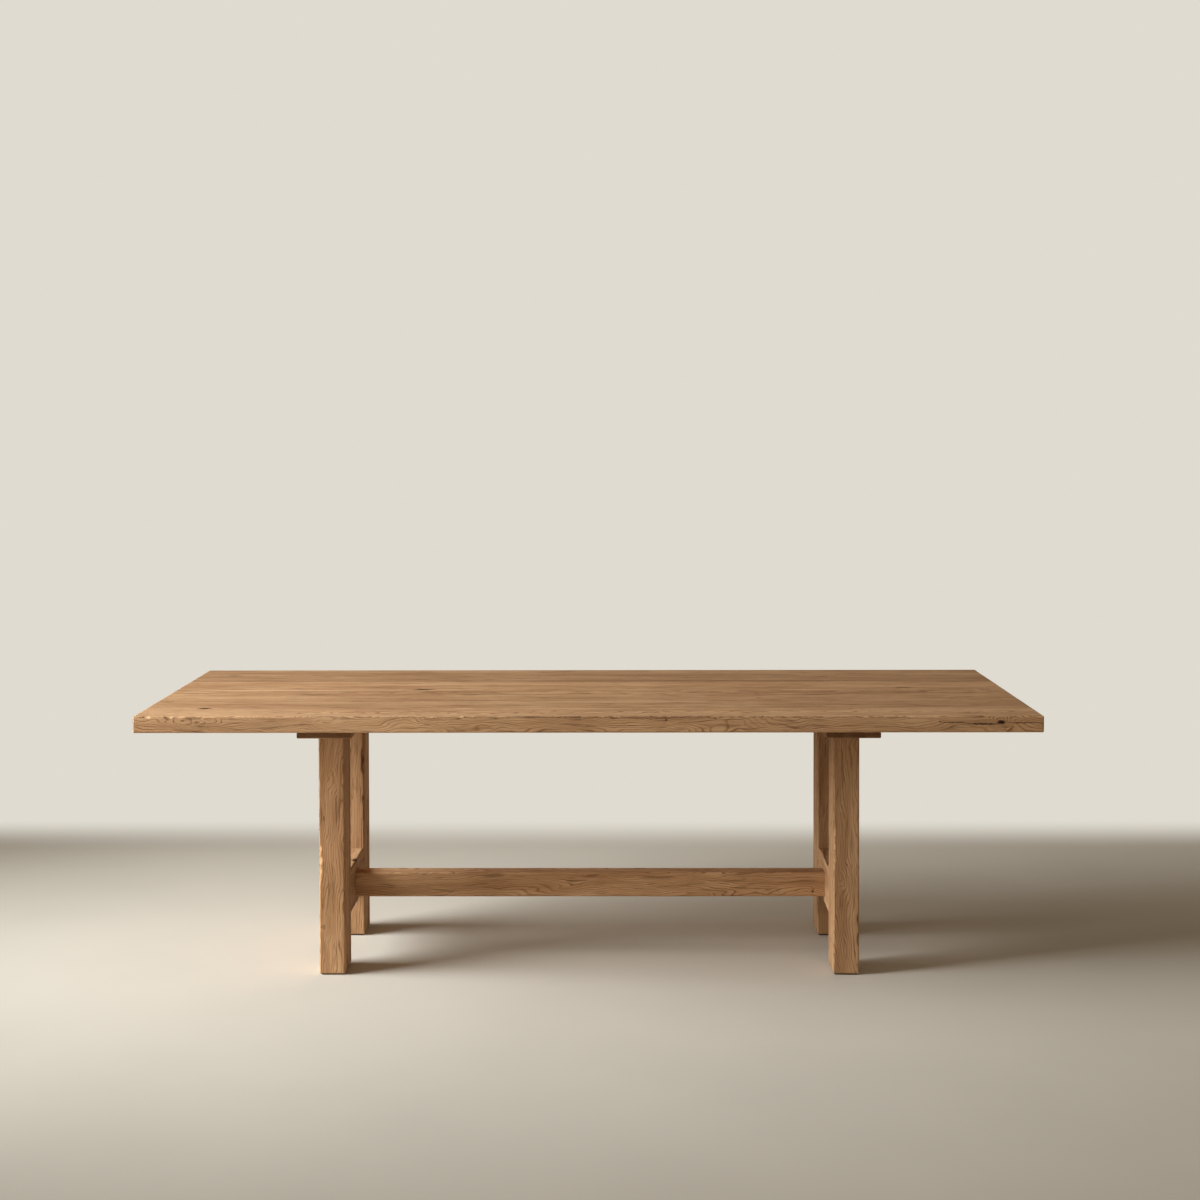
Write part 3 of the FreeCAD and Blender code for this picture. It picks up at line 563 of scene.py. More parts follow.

# Knots, checks and dark streaks, and on board 1 painted shade along the front edge: centre,
# radii, how dark, and how many rings they push aside.
BOARD_KNOTS = {
    1: [((-1.057, -0.317, TOP_OVER), (0.024, 0.012, 0.012), 0.95, 5.0),
        ((-0.990, -0.330, TOP_OVER), (0.060, 0.004, 0.006), 0.30, 0.0),
        ((1.105, TOP_FRONT, 0.743), (0.014, 0.012, 0.0065), 1.0, 4.0),
        ((1.055, TOP_FRONT, 0.7385), (0.060, 0.009, 0.0024), 0.95, 0.0),
        ((0.980, TOP_FRONT, 0.7425), (0.045, 0.008, 0.0016), 0.85, 0.0),
        ((0.941, TOP_FRONT, 0.745), (0.004, 0.007, 0.0024), 0.9, 0.0),
        ((1.170, TOP_FRONT, 0.7415), (0.060, 0.008, 0.0016), 0.85, 0.0),
        ((0.211, TOP_FRONT, 0.749), (0.004, 0.006, 0.0032), 0.9, 0.6),
        ((0.341, TOP_FRONT, 0.755), (0.0035, 0.006, 0.0025), 0.95, 0.5),
        ((0.470, TOP_FRONT, 0.7585), (0.0035, 0.007, 0.0030), 0.95, 0.5),
        ((-0.345, TOP_FRONT, 0.7545), (0.013, 0.006, 0.0020), 0.5, 0.0),
        ((-0.248, TOP_FRONT, 0.7540), (0.015, 0.006, 0.0020), 0.5, 0.0),
        ((0.072, TOP_FRONT, 0.7540), (0.014, 0.006, 0.0022), 0.5, 0.0),
        ((0.135, TOP_FRONT, 0.7550), (0.010, 0.006, 0.0020), 0.45, 0.0),
        ((0.555, TOP_FRONT, 0.728), (0.015, 0.006, 0.0015), 0.6, 0.0),
        ((0.530, TOP_FRONT, 0.720), (0.012, 0.006, 0.0013), 0.55, 0.0),
        ((0.180, TOP_FRONT, 0.7535), (0.150, 0.006, 0.0020), 0.38, 0.0),
        # A long dark line along the whole front arris is painted shade that dulls the arris
        # highlight.
        ((0.100, TOP_FRONT, 0.7580), (1.060, 0.0028, 0.0034), 0.48, 0.0),
        # Two faint broad darkenings over the left and right parts of the front edge are painted
        # shade.
        ((-0.900, TOP_FRONT, 0.7375), (0.300, 0.0035, 0.030), 0.08, 0.0),
        ((0.740, TOP_FRONT, 0.7375), (0.400, 0.0035, 0.030), 0.07, 0.0),
        ((-1.191, TOP_FRONT, 0.7585), (0.006, 0.007, 0.0028), 0.75, 0.0),
        ((-1.134, TOP_FRONT, 0.7590), (0.006, 0.007, 0.0025), 0.65, 0.0),
        ((0.505, TOP_FRONT, 0.742), (0.038, 0.020, 0.011), 0.05, 4.5),
        ((-0.030, TOP_FRONT, 0.757), (0.030, 0.020, 0.013), 0.05, 4.0),
        ((-0.420, TOP_FRONT, 0.752), (0.022, 0.020, 0.008), 0.05, 3.0),
        ((-0.695, TOP_FRONT, 0.736), (0.020, 0.020, 0.008), 0.05, 3.0),
        ((-0.825, TOP_FRONT, 0.758), (0.030, 0.020, 0.014), 0.05, 4.5),
        ((-1.045, TOP_FRONT, 0.736), (0.042, 0.020, 0.009), 0.16, 4.5)],
    2: [((0.93, -0.288, TOP_OVER), (0.250, 0.006, 0.020), 0.48, 0.0),
        ((0.55, -0.262, TOP_OVER), (0.360, 0.008, 0.020), 0.22, 0.0),
        ((-0.60, -0.245, TOP_OVER), (0.210, 0.006, 0.020), 0.18, 0.0)],
    3: [((0.484, -0.130, TOP_OVER), (0.012, 0.006, 0.008), 0.55, 2.0),
        ((-0.24, -0.062, TOP_OVER), (0.220, 0.009, 0.020), 0.30, 0.0),
        ((-0.80, -0.075, TOP_OVER), (0.060, 0.014, 0.010), 0.20, 3.0),
        ((0.664, -0.072, TOP_OVER), (0.050, 0.005, 0.008), 0.50, 1.5)],
    4: [((-0.487, 0.038, TOP_OVER), (0.036, 0.015, 0.014), 0.95, 6.0),
        ((-0.420, 0.050, TOP_OVER), (0.100, 0.006, 0.010), 0.35, 0.0),
        ((0.930, 0.073, TOP_OVER), (0.030, 0.011, 0.010), 0.6, 3.0),
        ((1.164, 0.020, TOP_OVER), (0.020, 0.009, 0.010), 0.7, 2.5)],
    5: [((0.711, 0.300, TOP_OVER), (0.026, 0.010, 0.010), 0.5, 2.0),
        ((0.30, 0.218, TOP_OVER), (0.900, 0.013, 0.020), 0.24, 0.0)],
    6: [((-1.112, 0.327, TOP_OVER), (0.030, 0.016, 0.010), 0.55, 3.0),
        ((0.10, 0.390, TOP_OVER), (0.360, 0.009, 0.020), 0.18, 0.0)],
}

# Pale sapwood that was left along the edge of a board.
BOARD_SAPWOOD = {
    2: [((-0.10, -0.204, TOP_OVER), (0.62, 0.011, 0.03), 0.35, 0.0)],
    4: [((-0.90, 0.019, TOP_OVER), (0.36, 0.013, 0.03), 0.8, 0.0)],
}

FRONT_CHIPS = [
    ((FRONT, OVER), -1.196, -1.172, 3.6 * MM),
    ((FRONT, OVER), -1.135, -1.112, 3.4 * MM),
    ((FRONT, OVER), -1.114, -1.088, 3.0 * MM),
    ((FRONT, OVER), -0.962, -0.940, 2.2 * MM),
    ((FRONT, OVER), -0.442, -0.404, 2.4 * MM),
    ((FRONT, OVER), -0.358, -0.330, 2.2 * MM),
    ((FRONT, OVER), -0.268, -0.228, 2.2 * MM),
    ((FRONT, OVER), 0.055, 0.088, 2.2 * MM),
    ((FRONT, OVER), 0.203, 0.220, 2.4 * MM),
    ((FRONT, OVER), 0.318, 0.350, 2.2 * MM),
    ((FRONT, UNDER), 0.700, 0.742, 2.2 * MM),
]

# Posts: the pith lies behind the front face and leans, so that the face shows flames.
# The front left post's tone of 1.04 is painted light, and the right posts' tone of 0.90 is painted
# shade, after the window's fall-off across the table.
POST_LOGS = {
    "front_left": dict(shift=(0.050, 0.070), grain=(0.016, 0.024, 1), ring=3.8 * MM,
                       wander=7 * MM, waves=(4, 13, 13), curl=2.3 * MM, curls=(9, 30, 30),
                       seed=5.3, tone=1.04, figure=0.78),
    "back_left": dict(shift=(-0.045, 0.080), grain=(0.006, -0.020, 1), ring=3.8 * MM,
                      wander=6 * MM, curl=1.8 * MM, seed=15.1, tone=1.0, figure=0.7),
    "front_right": dict(shift=(0.036, 0.066), grain=(-0.010, -0.030, 1), ring=3.4 * MM,
                        wander=7.5 * MM, waves=(4, 13, 13), curl=2.0 * MM,
                        curls=(9, 30, 30), seed=63.2, tone=0.90, figure=0.85),
    "back_right": dict(shift=(0.040, 0.070), grain=(0.010, 0.022, 1), ring=3.8 * MM,
                       wander=5 * MM, curl=1.6 * MM, seed=39.8, tone=0.90, figure=0.7),
}
POST_CHIPS = {
    "front_left": [((LEFT, FRONT), 0.336, 0.368, 4.8 * MM),
                   ((LEFT, FRONT), 0.306, 0.338, 6.0 * MM),
                   ((LEFT, FRONT), 0.280, 0.308, 5.4 * MM),
                   ((LEFT, FRONT), 0.258, 0.282, 4.4 * MM),
                   ((LEFT, FRONT), 0.520, 0.552, 2.2 * MM),
                   ((RIGHT, FRONT), 0.560, 0.605, 2.6 * MM),
                   ((RIGHT, FRONT), 0.165, 0.215, 2.6 * MM),
                   ((RIGHT, FRONT), 0.370, 0.395, 1.8 * MM)],
    "back_left": [((RIGHT, FRONT), 0.608, 0.660, 6.0 * MM),
                  ((RIGHT, FRONT), 0.528, 0.570, 5.6 * MM),
                  ((RIGHT, FRONT), 0.490, 0.530, 5.0 * MM),
                  ((RIGHT, FRONT), 0.400, 0.430, 3.2 * MM)],
    "front_right": [((LEFT, FRONT), 0.305, 0.345, 3.6 * MM),
                    ((LEFT, FRONT), 0.345, 0.380, 3.0 * MM),
                    ((LEFT, FRONT), 0.380, 0.442, 3.2 * MM),
                    ((RIGHT, FRONT), 0.080, 0.122, 3.4 * MM),
                    ((RIGHT, FRONT), 0.140, 0.175, 3.0 * MM)],
    "back_right": [((LEFT, FRONT), 0.420, 0.470, 2.4 * MM)],
}


def post_knots(corner, low, high):
    """Knots, checks and darkened chips of a post, on its front face."""
    if corner == "front_left":
        return [((low.x + 0.013, low.y, 0.135), (0.0065, 0.009, 0.0100), 0.42, 4.5),
                ((low.x + 0.014, low.y, 0.440), (0.0018, 0.005, 0.012), 0.85, 0.0),
                ((low.x + 0.045, low.y, 0.550), (0.007, 0.010, 0.020), 0.05, 2.0)]
    if corner == "front_right":
        return [((low.x + 0.036, low.y, 0.270), (0.006, 0.012, 0.020), 0.04, 1.5),
                ((high.x - 0.003, low.y, 0.102), (0.004, 0.006, 0.018), 0.5, 0.0),
                ((high.x - 0.003, low.y, 0.158), (0.004, 0.006, 0.014), 0.45, 0.0)]
    if corner == "back_right":
        return [((low.x + 0.014, low.y, 0.640), (0.003, 0.005, 0.006), 0.8, 1.0),
                ((low.x + 0.034, low.y, 0.590), (0.003, 0.005, 0.006), 0.7, 1.0)]
    return [((high.x - 0.001, low.y, 0.634), (0.0065, 0.009, 0.026), 0.85, 0.0),
            ((high.x - 0.001, low.y, 0.531), (0.0060, 0.009, 0.040), 0.85, 0.0),
            ((low.x + 0.030, low.y, 0.450), (0.006, 0.010, 0.014), 0.05, 2.0)]


# ------------------------------------------------------------------- fasteners

def solids(node):
    """Lowest and highest corners of each separate solid in a node."""
    bm = merged(node)
    left = set(bm.verts)
    boxes = []
    while left:
        waiting = [left.pop()]
        corners = []
        while waiting:
            vert = waiting.pop()
            corners.append(vert.co.copy())
            for edge in vert.link_edges:
                other = edge.other_vert(vert)
                if other in left:
                    left.remove(other)
                    waiting.append(other)
        boxes.append((Vector(min(c[i] for c in corners) for i in range(3)),
                      Vector(max(c[i] for c in corners) for i in range(3))))
    bm.free()
    return boxes


def new_tree(name, sizes):
    """Geometry tree with a geometry input, named sizes and a material."""
    tree = bpy.data.node_groups.new(name, "GeometryNodeTree")
    tree.interface.new_socket("Spots", in_out="INPUT", socket_type="NodeSocketGeometry")
    for title in sizes:
        tree.interface.new_socket(title, in_out="INPUT", socket_type="NodeSocketFloat")
    tree.interface.new_socket("Finish", in_out="INPUT", socket_type="NodeSocketMaterial")
    tree.interface.new_socket("Pieces", in_out="OUTPUT", socket_type="NodeSocketGeometry")
    return tree, tree.nodes.new("NodeGroupInput").outputs


def set_out(tree, given, shape):
    """Put a shape on every spot, facing as the spot does, as real geometry."""
    facing = add(tree, "GeometryNodeInputNamedAttribute", {"Name": "facing"},
                 data_type="FLOAT_VECTOR")
    turn = add(tree, "FunctionNodeAlignRotationToVector", {"Vector": facing}, axis="Z")
    copies = add(tree, "GeometryNodeInstanceOnPoints",
                 {"Points": given["Spots"], "Instance": shape, "Rotation": turn})
    real = add(tree, "GeometryNodeRealizeInstances", {"Geometry": copies})
    done = add(tree, "GeometryNodeSetMaterial", {"Geometry": real,
                                                 "Material": given["Finish"]})
    add(tree, "NodeGroupOutput", {"Pieces": done})
    return tree


def turned_tree(name, sides):
    """Headed fastener turned about z, head up, with a drive of so many sides."""
    tree, given = new_tree(name, ("Head", "Head height", "Shank", "Length", "Point",
                                  "Rim", "Drive", "Drive depth"))

    def sum_of(a, b, operation="ADD"):
        return add(tree, "ShaderNodeMath", [a, b], operation=operation)

    head = sum_of(given["Head"], 0.5, "MULTIPLY")
    shank = sum_of(given["Shank"], 0.5, "MULTIPLY")
    crown = sum_of(head, given["Rim"], "SUBTRACT")
    shoulder = sum_of(given["Head height"], given["Rim"], "SUBTRACT")
    soft = sum_of(given["Rim"], 0.3, "MULTIPLY")
    end = sum_of(given["Length"], -1.0, "MULTIPLY")
    start_of_point = sum_of(end, given["Point"])
    profile = [
        (given["Head height"], crown),
        (sum_of(given["Head height"], soft, "SUBTRACT"), sum_of(head, soft, "SUBTRACT")),
        (shoulder, head),
        (0.02 * MM, head),
        (0.0, shank),
        (start_of_point, shank),
        (end, sum_of(shank, 0.35, "MULTIPLY")),
    ]
    line = add(tree, "GeometryNodeMeshLine", {"Count": len(profile)})
    path = add(tree, "GeometryNodeMeshToCurve", {"Mesh": line})
    index = add(tree, "GeometryNodeInputIndex")
    fields = []
    for column in (0, 1):
        switch = tree.nodes.new("GeometryNodeIndexSwitch")
        switch.data_type = "FLOAT"
        while len(switch.index_switch_items) < len(profile):
            switch.index_switch_items.new()
        tree.links.new(index, switch.inputs[0])
        for i, row in enumerate(profile):
            if isinstance(row[column], bpy.types.NodeSocket):
                tree.links.new(row[column], switch.inputs[i + 1])
            else:
                switch.inputs[i + 1].default_value = row[column]
        fields.append(switch.outputs[0])
    place = add(tree, "ShaderNodeCombineXYZ", {"Z": fields[0]})
    path = add(tree, "GeometryNodeSetPosition", {"Geometry": path, "Position": place})
    circle = add(tree, "GeometryNodeCurvePrimitiveCircle", {"Resolution": 32, "Radius": 1.0},
                 mode="RADIUS")
    shape = add(tree, "GeometryNodeCurveToMesh",
                {"Curve": path, "Profile Curve": circle, "Scale": fields[1],
                 "Fill Caps": True})
    reach = sum_of(given["Drive"], 0.5 / math.cos(math.pi / sides), "MULTIPLY")
    deep = sum_of(given["Drive depth"], 2.0, "MULTIPLY")
    bit = add(tree, "GeometryNodeMeshCylinder", {"Vertices": sides, "Radius": reach,
                                                 "Depth": deep})
    high = add(tree, "ShaderNodeCombineXYZ", {"Z": given["Head height"]})
    bit = add(tree, "GeometryNodeTransform", {"Geometry": bit, "Translation": high})
    shape = add(tree, "GeometryNodeMeshBoolean", {"Mesh 1": shape, "Mesh 2": bit},
                operation="DIFFERENCE", solver="EXACT")
    return set_out(tree, given, shape)


def washer_tree():
    """Flat ring with eased rims, lying on z = 0."""
    tree, given = new_tree("Washers", ("Diameter", "Hole", "Thickness", "Easing"))
    both = add(tree, "ShaderNodeMath", [given["Diameter"], given["Hole"]], operation="ADD")
    middle = add(tree, "ShaderNodeMath", [both, 0.25], operation="MULTIPLY")
    across = add(tree, "ShaderNodeMath", [given["Diameter"], given["Hole"]],
                 operation="SUBTRACT")
    width = add(tree, "ShaderNodeMath", [across, 0.5], operation="MULTIPLY")
    path = add(tree, "GeometryNodeCurvePrimitiveCircle",
               {"Resolution": 48, "Radius": middle}, mode="RADIUS")
    outline = add(tree, "GeometryNodeCurvePrimitiveQuadrilateral",
                  {"Width": width, "Height": given["Thickness"]}, mode="RECTANGLE")
    outline = add(tree, "GeometryNodeFilletCurve",
                  {"Curve": outline, "Radius": given["Easing"], "Count": 2}, mode="POLY")
    ring = add(tree, "GeometryNodeCurveToMesh", {"Curve": path, "Profile Curve": outline})
    half = add(tree, "ShaderNodeMath", [given["Thickness"], 0.5], operation="MULTIPLY")
    lift = add(tree, "ShaderNodeCombineXYZ", {"Z": half})
    ring = add(tree, "GeometryNodeTransform", {"Geometry": ring, "Translation": lift})
    return set_out(tree, given, ring)


def barrel_tree():
    """Upright barrel nut about its middle: cross hole along x, slot in its upper end."""
    tree, given = new_tree("Barrel_nuts", ("Diameter", "Length", "Thread", "Slot width",
                                           "Slot depth"))
    radius = add(tree, "ShaderNodeMath", [given["Diameter"], 0.5], operation="MULTIPLY")
    shape = add(tree, "GeometryNodeMeshCylinder", {"Vertices": 40, "Radius": radius,
                                                   "Depth": given["Length"]})
    long = add(tree, "ShaderNodeMath", [given["Diameter"], 2.0], operation="MULTIPLY")
    thread = add(tree, "ShaderNodeMath", [given["Thread"], 0.5], operation="MULTIPLY")
    drill = add(tree, "GeometryNodeMeshCylinder", {"Vertices": 32, "Radius": thread,
                                                   "Depth": long})
    drill = add(tree, "GeometryNodeTransform", {"Geometry": drill,
                                                "Rotation": (0, math.pi / 2, 0)})
    deep = add(tree, "ShaderNodeMath", [given["Slot depth"], 2.0], operation="MULTIPLY")
    size = add(tree, "ShaderNodeCombineXYZ", [long, given["Slot width"], deep])
    slot = add(tree, "GeometryNodeMeshCube", {"Size": size})
    end = add(tree, "ShaderNodeMath", [given["Length"], 0.5], operation="MULTIPLY")
    high = add(tree, "ShaderNodeCombineXYZ", {"Z": end})
    slot = add(tree, "GeometryNodeTransform", {"Geometry": slot, "Translation": high})
    for tool in (drill, slot):
        shape = add(tree, "GeometryNodeMeshBoolean", {"Mesh 1": shape, "Mesh 2": tool},
                    operation="DIFFERENCE", solver="EXACT")
    return set_out(tree, given, shape)


def lay_out(name, node, tree, spots, sizes):
    """Make a node's fasteners with a tree, at spots that each have a place and a facing."""
    points = bpy.data.meshes.new(name + "_spots")
    points.from_pydata([place for place, facing in spots], [], [])
    facings = points.attributes.new("facing", "FLOAT_VECTOR", "POINT")
    facings.data.foreach_set("vector", [c for place, facing in spots for c in facing])
    holder = bpy.data.objects.new(name + "_spots", points)
    bpy.context.scene.collection.objects.link(holder)
    modifier = holder.modifiers.new("Fasteners", "NODES")
    modifier.node_group = tree
    finish = bpy.data.materials.get("Zinc_plated_steel") or zinc_steel()
    wanted = dict(sizes, Finish=finish)
    for socket in tree.interface.items_tree:
        if socket.in_out == "INPUT" and socket.name in wanted:
            modifier[socket.identifier] = wanted[socket.name]
    graph = bpy.context.evaluated_depsgraph_get()
    mesh = bpy.data.meshes.new_from_object(holder.evaluated_get(graph), depsgraph=graph)
    bpy.data.objects.remove(holder)
    if len(mesh.polygons) == 0:
        raise RuntimeError(name + " came out empty")
    mesh.name = name
    mesh.polygons.foreach_set("use_smooth", [True] * len(mesh.polygons))
    mesh.set_sharp_from_angle(angle=math.radians(35))
    piece = bpy.data.objects.new(name, mesh)
    bpy.context.scene.collection.objects.link(piece)
    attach(piece, "root")
    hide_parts(node)
    return piece


def on_bolt_axis(node, inset):
    """Spots on the stretcher bolts, an inset inside their outer ends, facing outwards."""
    spots = []
    for low, high in solids(node):
        side = RIGHT[1] if low.x + high.x > 0 else LEFT[1]
        outer = high.x if side > 0 else low.x
        middle = (low + high) / 2
        spots.append(((outer - side * inset, middle.y, middle.z), (side, 0, 0)))
    return spots


# ------------------------------------------------------------------- operators

class TABLE_OT_top_boards(bpy.types.Operator):
    """Six oak boards of the top"""
    bl_idname = "table.top_boards"
    bl_label = "Top boards"

    def execute(self, context):
        last = max(BOARDS)
        for number, log in BOARDS.items():
            node = "top_board_%d" % number
            low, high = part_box(node)
            bare = [face for face in ALL_FACES
                    if not (face == FRONT and number > 1) and not (face == BACK and number < last)]
            seams = []
            if number > 1:
                seams.append((Y, low.y))
            if number < last:
                seams.append((Y, high.y))
            knots = BOARD_KNOTS.get(number, [])
            glue_lines = [((0, place, high.z), (4.0, 4 * MM, 3 * MM), 0.30, 0.0)
                          for axis, place in seams]
            material = oiled_oak("Oiled_oak_board_%d" % number, log, knots + glue_lines,
                                 BOARD_SAPWOOD.get(number, []))
            work_timber("oak_board_%d" % number, node, material, X,
                        5 * MM if number == 1 else 16 * MM, bare=bare,
                        chips=FRONT_CHIPS if number == 1 else (), knots=knots, seams=seams)
        return {"FINISHED"}


class TABLE_OT_tongues(bpy.types.Operator):
    """Loose tongues between the boards"""
    bl_idname = "table.tongues"
    bl_label = "Tongues"

    def execute(self, context):
        log = dict(pith=(0, 0.2, MID_TOP - 0.1), grain=(1, 0, 0), ring=6 * MM,
                   wander=6 * MM, curl=1.5 * MM, seed=71.3)
        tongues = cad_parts["top_tongues"]
        tongues.material_slots[0].material = oiled_oak("Oak_tongues", log)
        return {"FINISHED"}


class TABLE_OT_cleats(bpy.types.Operator):
    """Bearers under the top"""
    bl_idname = "table.cleats"
    bl_label = "Cleats"

    def execute(self, context):
        for side, seed in (("left", 8.8), ("right", 62.1)):
            node = "cleat_" + side
            low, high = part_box(node)
            log = dict(pith=((low.x + high.x) / 2 + 0.02, 0, low.z - 0.09),
                       grain=(0.012, 1, 0.02), ring=6.5 * MM, wander=7 * MM,
                       curl=2.0 * MM, seed=seed, tone=0.93)
            work_timber("oak_" + node, node, oiled_oak("Oiled_oak_" + node, log),
                        Y, 12 * MM,
                        bare=[face for face in ALL_FACES if face != OVER])
        return {"FINISHED"}


class TABLE_OT_cross_rails(bpy.types.Operator):
    """Rails between the posts of a trestle"""
    bl_idname = "table.cross_rails"
    bl_label = "Cross rails"

    def execute(self, context):
        for side, seed in (("left", 13.6), ("right", 49.5)):
            node = "cross_rail_" + side
            low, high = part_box(node)
            low.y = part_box("post_front_" + side)[1].y
            high.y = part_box("post_back_" + side)[0].y
            log = dict(pith=((low.x + high.x) / 2, 0, low.z - 0.05),
                       grain=(0.02, 1, -0.01), ring=6.5 * MM, wander=8 * MM,
                       curl=2.2 * MM, seed=seed, tone=0.98)
            knots = []
            if side == "left":
                knots.append(((high.x - 0.004, -0.012, high.z), (0.011, 0.021, 0.008), 1.0,
                              2.0))
            work_timber("oak_" + node, node, oiled_oak("Oiled_oak_" + node, log, knots),
                        Y, 8 * MM, bare=(LEFT, RIGHT, UNDER, OVER),
                        body=(low, high), knots=knots)
        return {"FINISHED"}


class TABLE_OT_posts(bpy.types.Operator):
    """Four posts of the trestles"""
    bl_idname = "table.posts"
    bl_label = "Posts"

    def execute(self, context):
        for corner, given in POST_LOGS.items():
            node = "post_" + corner
            low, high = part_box(node)
            high.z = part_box("cleat_" + corner.split("_")[1])[0].z
            log = dict(given)
            across, behind = log.pop("shift")
            log["pith"] = ((low.x + high.x) / 2 + across, low.y + behind, 0.33)
            knots = post_knots(corner, low, high)
            work_timber("oak_" + node, node, oiled_oak("Oiled_oak_" + node, log, knots),
                        Z, 5 * MM,
                        bare=[face for face in ALL_FACES if face != OVER],
                        body=(low, high), chips=POST_CHIPS[corner], knots=knots)
        return {"FINISHED"}


class TABLE_OT_stretcher(bpy.types.Operator):
    """Low beam between the trestles"""
    bl_idname = "table.stretcher"
    bl_label = "Stretcher"

    def execute(self, context):
        low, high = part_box("stretcher")
        low.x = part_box("cross_rail_left")[1].x
        high.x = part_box("cross_rail_right")[0].x
        # The stretcher's tone of 1.06 is painted light that lifts its middle, which the window
        # hardly reaches under the top.
        log = dict(pith=(0, low.y + 0.058, low.z - 0.020), grain=(1, 0.008, 0.014),
                   ring=3.4 * MM, wander=8 * MM, waves=(4, 13, 13), curl=2.0 * MM,
                   curls=(9, 30, 30), seed=33.3, tone=1.06, figure=1.05)
        knots = [((high.x - 0.035, low.y, low.z + 0.015), (0.0045, 0.006, 0.0035), 0.95,
                  1.5),
                 ((low.x + 0.20, low.y, high.z - 0.006), (0.010, 0.006, 0.004), 0.35, 1.5)]
        work_timber("oak_stretcher", "stretcher",
                    oiled_oak("Oiled_oak_stretcher", log, knots), X, 8 * MM,
                    bare=(FRONT, BACK, UNDER, OVER), body=(low, high), knots=knots)
        return {"FINISHED"}


class TABLE_OT_felt_pads(bpy.types.Operator):
    """Felt glides under the posts"""
    bl_idname = "table.felt_pads"
    bl_label = "Felt pads"

    def execute(self, context):
        felt = pressed_felt()
        for corner in POST_LOGS:
            node = "felt_pad_" + corner
            low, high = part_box(node)
            bm = merged(node)
            for axis in (X, Y):
                rule(bm, axis, spread(low[axis], high[axis], 4 * MM))
            rule(bm, Z, spread(low.z, high.z, 1 * MM))
            middle = (low + high) / 2
            for vert in bm.verts:
                # The free rim is pressed in at its edges and frayed a little all round.
                rise = abs(vert.co.z - middle.z) / (high.z - middle.z)
                rim = max(abs(vert.co.x - middle.x) / (high.x - middle.x),
                          abs(vert.co.y - middle.y) / (high.y - middle.y))
                if rim > 0.9:
                    fray = 0.25 * MM * (0.5 + 0.5 * noise.noise(vert.co * 400))
                    back = 0.35 * MM * rise ** 3 + fray
                    for axis in (X, Y):
                        away = vert.co[axis] - middle[axis]
                        if abs(away) > 1 * MM:
                            vert.co[axis] -= math.copysign(back, away)
            mesh = bpy.data.meshes.new("pad_" + corner)
            bm.to_mesh(mesh)
            bm.free()
            mesh.materials.append(felt)
            piece = bpy.data.objects.new("pad_" + corner, mesh)
            context.scene.collection.objects.link(piece)
            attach(piece, "root")
            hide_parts(node)
        return {"FINISHED"}


class TABLE_OT_stretcher_bolts(bpy.types.Operator):
    """Bolts that pull the stretcher home"""
    bl_idname = "table.stretcher_bolts"
    bl_label = "Stretcher bolts"

    def execute(self, context):
        sizes = context.scene.table_fasteners
        low, high = solids("stretcher_bolts")[0]
        length = high.x - low.x - sizes.bolt_head_height
        lay_out("socket_bolts", "stretcher_bolts", turned_tree("Socket_bolts", 6),
                on_bolt_axis("stretcher_bolts", sizes.bolt_head_height),
                {"Head": sizes.bolt_head, "Head height": sizes.bolt_head_height,
                 "Shank": sizes.bolt_shank, "Length": length, "Point": 1 * MM,
                 "Rim": 1.0 * MM, "Drive": sizes.bolt_socket, "Drive depth": 5 * MM})
        return {"FINISHED"}


class TABLE_OT_bolt_washers(bpy.types.Operator):
    """Washers under the bolt heads"""
    bl_idname = "table.bolt_washers"
    bl_label = "Bolt washers"

    def execute(self, context):
        sizes = context.scene.table_fasteners
        low, high = solids("bolt_washers")[0]
        lay_out("bolt_rings", "bolt_washers", washer_tree(),
                on_bolt_axis("bolt_washers", high.x - low.x),
                {"Diameter": high.y - low.y, "Hole": sizes.bolt_shank + 0.2 * MM,
                 "Thickness": high.x - low.x, "Easing": 0.35 * MM})
        return {"FINISHED"}


class TABLE_OT_barrel_nuts(bpy.types.Operator):
    """Nuts that the bolts thread into"""
    bl_idname = "table.barrel_nuts"
    bl_label = "Barrel nuts"

    def execute(self, context):
        sizes = context.scene.table_fasteners
        boxes = solids("barrel_nuts")
        low, high = boxes[0]
        spots = [(tuple((a + b) / 2), (0, 0, -1)) for a, b in boxes]
        lay_out("slotted_barrels", "barrel_nuts", barrel_tree(), spots,
                {"Diameter": high.y - low.y, "Length": high.z - low.z,
                 "Thread": sizes.bolt_shank + 0.2 * MM, "Slot width": 2 * MM,
                 "Slot depth": 2 * MM})
        return {"FINISHED"}


class TABLE_OT_top_screws(bpy.types.Operator):
    """Screws that hold the top to the cleats"""
    bl_idname = "table.top_screws"
    bl_label = "Top screws"

    def execute(self, context):
        sizes = context.scene.table_fasteners
        boxes = solids("top_screws")
        low, high = boxes[0]
        spots = [(((a.x + b.x) / 2, (a.y + b.y) / 2, a.z + sizes.screw_head_height),
                  (0, 0, -1)) for a, b in boxes]
        lay_out("pan_head_screws", "top_screws", turned_tree("Pan_head_screws", 4), spots,
                {"Head": sizes.screw_head, "Head height": sizes.screw_head_height,
                 "Shank": sizes.screw_shank,
                 "Length": high.z - low.z - sizes.screw_head_height, "Point": 6 * MM,
                 "Rim": 1.6 * MM, "Drive": sizes.screw_drive, "Drive depth": 2 * MM})
        return {"FINISHED"}


class TABLE_OT_screw_washers(bpy.types.Operator):
    """Washers under the screw heads"""
    bl_idname = "table.screw_washers"
    bl_label = "Screw washers"

    def execute(self, context):
        sizes = context.scene.table_fasteners
        boxes = solids("screw_washers")
        low, high = boxes[0]
        spots = [(((a.x + b.x) / 2, (a.y + b.y) / 2, b.z), (0, 0, -1)) for a, b in boxes]
        lay_out("screw_rings", "screw_washers", washer_tree(), spots,
                {"Diameter": high.y - low.y, "Hole": sizes.screw_shank + 0.2 * MM,
                 "Thickness": high.z - low.z, "Easing": 0.3 * MM})
        return {"FINISHED"}


